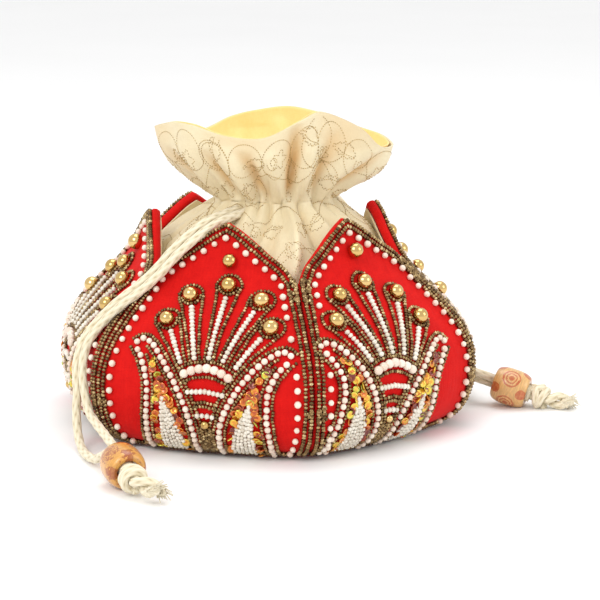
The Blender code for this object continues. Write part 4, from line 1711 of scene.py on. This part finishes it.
@dataclass(frozen=True)
class CordSide:
    """Where one drawcord's pair runs, and its bead and knot."""

    side: str
    bead: Triple
    axis: Triple
    pair: Points
    alone: tuple[Points, Points]
    lean: Pair
    bend: float
    ring_height: float
    finish: Finish


LEFT = CordSide(
    "left", (-80.2, -102.2, 8.6), (0.15, -0.985, -0.08),
    ((-15.4, -22.4, 95.8), (-24.0, -30.2, 94.8), (-34.0, -37.6, 92.2), (-44.0, -40.6, 85.4),
     (-50.9, -39.6, 78.5), (-59.0, -39.5, 69.9), (-66.9, -37.6, 63.9), (-78.2, -34.9, 53.5),
     (-86.5, -35.2, 42.6), (-89.0, -38.3, 33.6), (-89.0, -40.8, 25.0)),
    (((-91.0, -40.6, 14.5), (-91.0, -45.0, 6.2), (-90.6, -54.0, 2.6), (-89.6, -65.0, 2.5),
      (-87.4, -75.0, 3.9)),
     ((-86.4, -46.6, 16.6), (-84.8, -56.0, 14.0), (-83.0, -67.0, 12.4))),
    (0.80, -0.60), -12.0, 96.4 * MM, Finish.WOOD_DARK)
RIGHT = CordSide(
    "right", (110.8, -20.0, 8.7), (0.82, -0.50, -0.26),
    ((21.8, 22.1, 101.3), (28.6, 31.6, 99.9), (34.6, 39.6, 96.4), (43.0, 41.5, 88.4),
     (50.9, 39.0, 78.8), (59.2, 39.2, 69.9), (66.4, 39.9, 63.4), (76.6, 40.8, 53.3),
     (85.0, 41.5, 42.6), (90.0, 40.0, 33.0), (93.5, 35.0, 24.5), (95.8, 25.0, 18.4),
     (96.8, 12.0, 15.6)),
    ((), ()), (0.6, 0.8), -3.0, 100.5 * MM, Finish.WOOD)


@dataclass
class Drawcord:
    """A doubled cotton cord with a wooden bead on it and a knot below the bead."""

    spec: CordSide
    diameter: float = 3.8 * MM
    bead_length: float = 16.0 * MM
    bead_radius: float = 8.5 * MM
    bead_end: float = 5.9 * MM
    bore: float = 4.5 * MM
    print_cells: int = 4
    ring_radius: float = 20.7 * MM
    neck: Pair = (3.9 * MM, -0.8 * MM)
    half_gap: float = 0.24 * MM
    straight: float = 17.5 * MM
    # The knot and its tails, in millimetres from where it starts: the height that each
    # place needs, where the wraps, tails and tufts run, and the tails' twist.
    knot_reach: Points = ((0.0, 2.7), (2.4, 5.2), (4.4, 5.4), (8.0, 3.9), (9.4, 3.0),
                          (13.5, 3.6), (18.5, 3.4), (22.0, 2.1))
    wraps_at: Pair = (1.9, 8.1)
    wrap_turns: float = 2.7
    tails_at: Pair = (8.2, 17.0)
    tail_reach: float = 2.1
    twist: float = 0.32
    fibres: int = 90

    def __post_init__(self) -> None:
        """Work out the bead's middle and its three directions."""
        self.middle = np.array(self.spec.bead) * MM
        self.along = unit(np.array(self.spec.axis))
        self.across = unit(np.cross(self.along, (0.0, 0.0, 1.0)))
        self.up = np.cross(self.across, self.along)
        self.frame = np.stack((self.up, self.across, self.along))

    def route(self, hand: float, alone: Points) -> Array:
        """A strand's route: beside the pair's line, then alone, then into the bead.

        Args:
            hand: 1 or -1, the side of the pair.
            alone: Points it passes alone, millimetres.

        Returns:
            160 points in metres.
        """
        half = self.diameter / 2 + self.half_gap
        shared = curve_through(np.array(self.spec.pair) * MM, 12)
        run = unit(np.gradient(shared, axis=0))
        out = unit(shared * (1.0, 1.0, 0.0))
        shared = shared + hand * half * unit(np.cross(run, out + (0.0, 0.0, 1.0)))
        lean = self.spec.lean
        seat = self.middle + hand * half * (self.across * lean[0] + self.up * lean[1])
        stops = (-self.straight, -14.0 * MM, 0.0, self.bead_length / 2 + 0.3 * MM)
        ends = np.array([seat + self.along * stop for stop in stops])
        parts = [shared] + ([np.array(alone) * MM] if alone else []) + [ends]
        return curve_through(np.vstack(parts), 160)

    def braid(self, line: Array, radius: float, sides: int = 24, lay: float = 8.0 * MM) -> Shape:
        """A braided tube: long yarns that slant left and right in turn round it.

        A yarn's ridge is the absolute cosine of half its phase, and the sign of
        cos(4 angle) tells which of the two slants lies on top.

        Args:
            line: Centre line.
            radius: Mean radius.
            sides: Points round.
            lay: Length of the braid's repeat.

        Returns:
            The tube, with the swelling as its tint, which the cotton finish turns into painted shade
            in the hollows between yarns.
        """
        count = max(12, int(run_length(line) / (0.50 * MM)))
        fine = curve_through(line, count)
        far = np.linspace(0.0, run_length(fine), count)[:, None] * 2 * math.pi / lay
        angle = turn_angles(sides)[None, :]
        top = 0.3 * np.cos(4 * angle)
        swell = np.maximum(np.abs(np.cos(2 * angle + far / 2)) * (0.7 + top),
                           np.abs(np.cos(2 * angle - far / 2)) * (0.7 - top))
        body = tube(fine, radius * (0.84 + 0.20 * swell), sides)
        body.wrap = 1.0
        # Painted shade: the swell, low in the hollows between yarns, darkens the cotton there.
        body.tint = np.concatenate((swell.ravel(), (0.5, 0.5)))
        return body

    def spine(self, at: Array) -> Array:
        """Centre line of the knot and its tail at distances below the bead, mm.

        It leaves along the bead's bore, goes level after 5 mm, bends sideways,
        and never sinks under the height that its own radius needs.

        Args:
            at: Distances from the knot's start.

        Returns:
            Points in metres.
        """
        start = self.middle + self.along * (self.bead_length / 2 + 0.65 * MM)
        level = self.along * (1.0, 1.0, 0.0)
        share = at / 22.0
        spots = (start + np.minimum(at, 5.0)[:, None] * MM * self.along
                 + np.maximum(at - 5.0, 0.0)[:, None] * MM * level
                 + (self.spec.bend * MM * np.maximum(0.0, share - 0.3) ** 1.3)[:, None]
                 * self.across)
        radius = np.interp(at, *zip(*self.knot_reach)) * MM
        spots[:, 2] = np.maximum(radius * 1.06 + 0.1 * MM, spots[:, 2] - 2.5 * MM * share)
        return spots

    def wound(self, at: Array, reach: Array, turns: Array) -> Array:
        """A line wound round the spine: reach times cosine and sine of the turns.

        Args:
            at: Distances from the knot's start, millimetres.
            reach: Distance from the spine, metres.
            turns: Angle round it.

        Returns:
            Points in metres.
        """
        centre = self.spine(at)
        run = unit(np.gradient(centre, axis=0))
        side = unit(np.cross(run, (0.0, 0.0, 1.0)))
        up = np.cross(side, run)
        return (centre + (reach * np.cos(turns))[:, None] * side
                + (reach * np.sin(turns))[:, None] * up)

    def wraps(self) -> Shape:
        """The knot's body: a core, a plug in the bead's bore, wraps and a crossing strand.

        Returns:
            The shape.
        """
        yarn = self.diameter / 2
        body = self.braid(self.spine(np.linspace(0.2, 10.0, 24)), 2.4 * MM)
        plug = tube(self.spine(np.linspace(-4.0, 1.0, 8)), np.full(8, 3.8 * MM), 24)
        plug.tint = np.full(len(plug.verts), 0.6)
        share = np.linspace(0.0, 1.0, 90)
        coil = self.wound(self.wraps_at[0] + (self.wraps_at[1] - self.wraps_at[0]) * share,
                          (3.5 + 0.75 * np.sin(math.pi * share)) * MM,
                          2 * math.pi * self.wrap_turns * share + 0.6)
        cross = self.wound(np.linspace(1.4, 8.8, 40),
                           3.9 * MM * np.sin(math.pi * np.linspace(0.05, 0.95, 40)) ** 0.6,
                           np.linspace(2.2, 3.6, 40))
        return body.joined(plug).joined(self.braid(coil, 0.92 * yarn)).joined(
            self.braid(cross, 0.80 * yarn))

    def tail(self, hand: float, rng: np.random.Generator) -> Shape:
        """One of the two twisted cord ends, with its frayed tuft.

        Args:
            hand: Angle at which it starts.
            rng: Draws the tuft's lumps.

        Returns:
            The shape.
        """
        first = self.tails_at[0]
        at = np.linspace(*self.tails_at, 40)
        line = self.wound(at, (1.7 + 0.06 * (at - first)) * MM, hand + (at - first) * self.twist)
        body = self.braid(line, self.diameter / 2)
        at = np.linspace(15.0, 20.6, 16)
        line = self.wound(at, np.full(16, self.tail_reach * MM), hand + (at - first) * self.twist)
        line[:, 2] = np.maximum(line[:, 2], 2.0 * MM)
        size = np.interp(at, (15.0, 17.0, 19.4, 20.6), (1.5, 2.1, 1.8, 0.9))[:, None]
        tuft = tube(line, size * (1.0 + 0.09 * rng.normal(size=(16, 20))) * MM, 20)
        tuft.tint = rng.uniform(0.45, 0.95, len(tuft.verts))
        return body.joined(tuft)

    def fibre(self, rng: np.random.Generator) -> Shape:
        """One loose fibre that leaves a tuft's end.

        Args:
            rng: Draws its place, length and shade.

        Returns:
            The shape.
        """
        share = np.linspace(0.0, 1.0, 6)
        hand = rng.choice((0.0, math.pi))
        angle, reach = rng.uniform(0, 2 * math.pi), rng.uniform(0.9, 1.7)
        at = 15.8 + share * rng.uniform(3.0, 5.8)
        base = self.wound(at, np.full(6, self.tail_reach * MM),
                          hand + (at - self.tails_at[0]) * self.twist)
        spread = (reach * (1 + 0.25 * share**2) * MM)[:, None]
        run = unit(np.gradient(base, axis=0))
        side = unit(np.cross(run, (0.0, 0.0, 1.0)))
        line = base + spread * (math.cos(angle) * side + math.sin(angle) * np.cross(side, run))
        line = line + rng.normal(size=(1, 3)) * (0.9 * MM * share**2)[:, None]
        line[:, 2] = np.maximum(line[:, 2], 0.3 * MM)
        fibre = tube(line, np.interp(share, (0, 1), (0.34, 0.20)) * MM, 5)
        fibre.tint = np.full(len(fibre.verts), rng.uniform(0.5, 1.0))
        return fibre

    def knot(self, shop: Workshop) -> Piece:
        """The knot: wraps of cord round a core, two twisted ends, and loose fibres.

        Args:
            shop: Gives the finish.

        Returns:
            The piece.
        """
        rng = np.random.default_rng(7)
        body = self.wraps()
        for hand in (0.0, math.pi):
            body = body.joined(self.tail(hand, rng))
        for _ in range(self.fibres):
            body = body.joined(self.fibre(rng))
        body.wrap = 1.0
        piece = body.build(f"tied_knot_{self.spec.side}", shop.get(Finish.COTTON))
        attach(piece, "bag", f"knot_{self.spec.side}")
        return piece

    def wooden_bead(self, shop: Workshop) -> Piece:
        """The bead: a barrel whose radius swells as sqrt(1 - share^2.6), and a bore.

        Args:
            shop: Gives the finish.

        Returns:
            The piece.
        """
        share = np.sin(np.linspace(-1.0, 1.0, 33) * math.pi / 2)
        swell = (1.0 - np.abs(share) ** 2.6) ** 0.5
        outside = np.stack((self.bead_end + (self.bead_radius - self.bead_end) * swell,
                            share * self.bead_length / 2), axis=1)
        back = np.linspace(1.0, -1.0, 9)
        inside = np.stack((self.bore + 0.25 * MM * np.abs(back) ** 4,
                           back * self.bead_length / 2), axis=1)
        rows = np.vstack((outside, inside))
        sides = 56
        angle = turn_angles(sides)[None, :]
        verts = place(rows[:, :1], angle, rows[:, 1:2]).reshape(-1, 3)
        cells = np.concatenate((0.5 + 0.62 * share, np.full(len(back), 1.0)))
        uv = np.stack(np.broadcast_arrays(angle / (2 * math.pi) * self.print_cells,
                                          cells[:, None]), axis=-1)
        body = Shape(verts, grid_quads(len(rows), sides, loop=True), uv=uv.reshape(-1, 2),
                     wrap=float(self.print_cells), wrap_axis=0)
        body.verts = body.verts @ self.frame + self.middle
        piece = body.build(f"printed_bead_{self.spec.side}", shop.get(self.spec.finish))
        attach(piece, f"bead_{self.spec.side}", f"wooden_bead_{self.spec.side}")
        return piece

    def channel(self, shop: Workshop) -> None:
        """The cord's ring in the channel round the neck.

        Args:
            shop: Gives the finish.
        """
        turn = np.linspace(0.0, 2 * math.pi, 130)[:-1]
        line = place(np.full(len(turn), self.ring_radius), turn,
                     np.full(len(turn), self.spec.ring_height))
        line = line + np.array((*self.neck, 0.0))
        run = unit(np.roll(line, -1, axis=0) - np.roll(line, 1, axis=0))
        out = np.cross(run, (0.0, 0.0, 1.0))
        angle = turn_angles(10)
        rings = (line[:, None, :] + self.diameter / 2
                 * (np.cos(angle)[None, :, None] * out[:, None, :]
                    + np.sin(angle)[None, :, None] * np.array((0.0, 0.0, 1.0))))
        uv = np.stack(np.broadcast_arrays((turn * self.ring_radius)[:, None],
                                          angle[None, :] / (2 * math.pi)), axis=-1)
        body = Shape(rings.reshape(-1, 3), grid_quads(len(line), 10, loop=True)[:, ::-1],
                     uv=uv.reshape(-1, 2), tint=np.full(len(line) * 10, 0.6))
        piece = body.build(f"channel_cord_{self.spec.side}", shop.get(Finish.COTTON))
        attach(piece, "bag", f"drawcord_{self.spec.side}_channel")

    def build(self, shop: Workshop) -> None:
        """Make the bead, the knot, the two strands and the ring in the channel.

        Args:
            shop: Gives the finishes.
        """
        bead, knot = self.wooden_bead(shop), self.knot(shop)
        for letter, hand, alone in (("a", 1.0, self.spec.alone[0]),
                                    ("b", -1.0, self.spec.alone[1])):
            line = self.route(hand, alone)
            strand = self.braid(line, self.diameter / 2).build(
                f"braided_cord_{self.spec.side}_{letter}", shop.get(Finish.COTTON))
            attach(strand, "bag", f"drawcord_{self.spec.side}_{letter}")
            LOG.info("cord %s %s: %.1f mm", self.spec.side, letter, run_length(line) / MM)
        self.channel(shop)


# ---- studio

@dataclass
class Studio:
    """Camera, pale floor and soft lights."""

    target: Triple = (0.0, 0.0, 0.06)
    distance: float = 0.9
    azimuth: float = -12.2
    elevation: float = 11.48
    lens: float = 120.0
    pan: float = 1.0
    tilt: float = 0.58

    def camera(self) -> None:
        """A long lens a little above the table, aimed beside the bag's middle."""
        turn, rise = math.radians(self.azimuth), math.radians(self.elevation)
        away = np.array((math.sin(turn) * math.cos(rise), -math.cos(turn) * math.cos(rise),
                         math.sin(rise)))
        eye = np.array(self.target) + away * self.distance
        right = unit(np.cross(-away, (0.0, 0.0, 1.0)))
        up = np.cross(right, -away)
        look = unit(-away + right * math.tan(math.radians(self.pan))
                    - up * math.tan(math.radians(self.tilt)))
        data = bpy.data.cameras.new("camera")
        data.lens, data.sensor_width = self.lens, 36.0
        data.clip_start, data.clip_end = 0.05, 50.0
        camera = bpy.data.objects.new("camera", data)
        camera.location = eye
        camera.rotation_euler = Vector(look).to_track_quat("-Z", "Y").to_euler()
        bpy.context.scene.collection.objects.link(camera)
        bpy.context.scene.camera = camera

    def floor(self) -> None:
        """A wide pale floor at the height that the bag stands on."""
        reach = 6.0
        corners = np.array(((-1, -1, 0), (1, -1, 0), (1, 1, 0), (-1, 1, 0)), float) * reach
        graph = Graph("pale_floor")
        cloud = graph.noise(graph.mapped("Object", (1, 1, 1)), 3.0)
        graph.put(graph.shader, "Base Color", graph.ramp(cloud, ((0.2, (0.90, 0.90, 0.90)),
                                                                 (0.8, (0.92, 0.92, 0.92)))))
        graph.gloss(Roughness=0.75, Specular_IOR_Level=0.1)
        floor = Shape(corners, np.array(((0, 1, 2, 3),))).build("floor", graph.material)

    def lights(self) -> None:
        """Two big softboxes, one overhead, and an even white surround."""
        for name, spot, size, power in (("key", (-0.75, -0.75, 0.85), 0.6, 6.0),
                                        ("fill", (0.95, -0.65, 0.55), 0.6, 2.5),
                                        ("top", (0.10, 0.25, 1.25), 0.8, 5.0)):
            data = bpy.data.lights.new(name, "AREA")
            data.shape, data.size, data.energy = "SQUARE", size, power
            light = bpy.data.objects.new(name, data)
            light.location = spot
            aim = Vector(self.target) - Vector(spot)
            light.rotation_euler = aim.to_track_quat("-Z", "Y").to_euler()
            bpy.context.scene.collection.objects.link(light)
        world = bpy.data.worlds.new("surround")
        world.use_nodes = True
        back = world.node_tree.nodes["Background"]
        back.inputs["Color"].default_value = (1.0, 1.0, 1.0, 1.0)
        back.inputs["Strength"].default_value = 1.0
        bpy.context.scene.world = world
        bpy.context.scene.view_settings.view_transform = "Standard"

    def build(self) -> None:
        """Set up everything that isn't the bag."""
        self.camera()
        self.floor()
        self.lights()


def main() -> None:
    """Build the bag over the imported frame."""
    logging.basicConfig(level=logging.INFO, format="%(name)s: %(message)s")
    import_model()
    shop = Workshop()
    Studio().build()
    for spec in (LEFT, RIGHT):
        Drawcord(spec).build(shop)
    surface = BodySurface()
    Petals(surface).build(shop)
    Plate("silk_base", "base", 62.4 * MM, 0.0, 3.2 * MM, Finish.SILK, "red_silk").build(
        surface, shop)
    Plate("inner_board", "base_board", 57.0 * MM, 3.6 * MM, 2.0 * MM, Finish.BOARD,
          "stiffener_board").build(surface, shop)
    Collar(surface).build(shop)
    Beadwork(surface).build(shop)


if __name__ == "__main__":
    main()
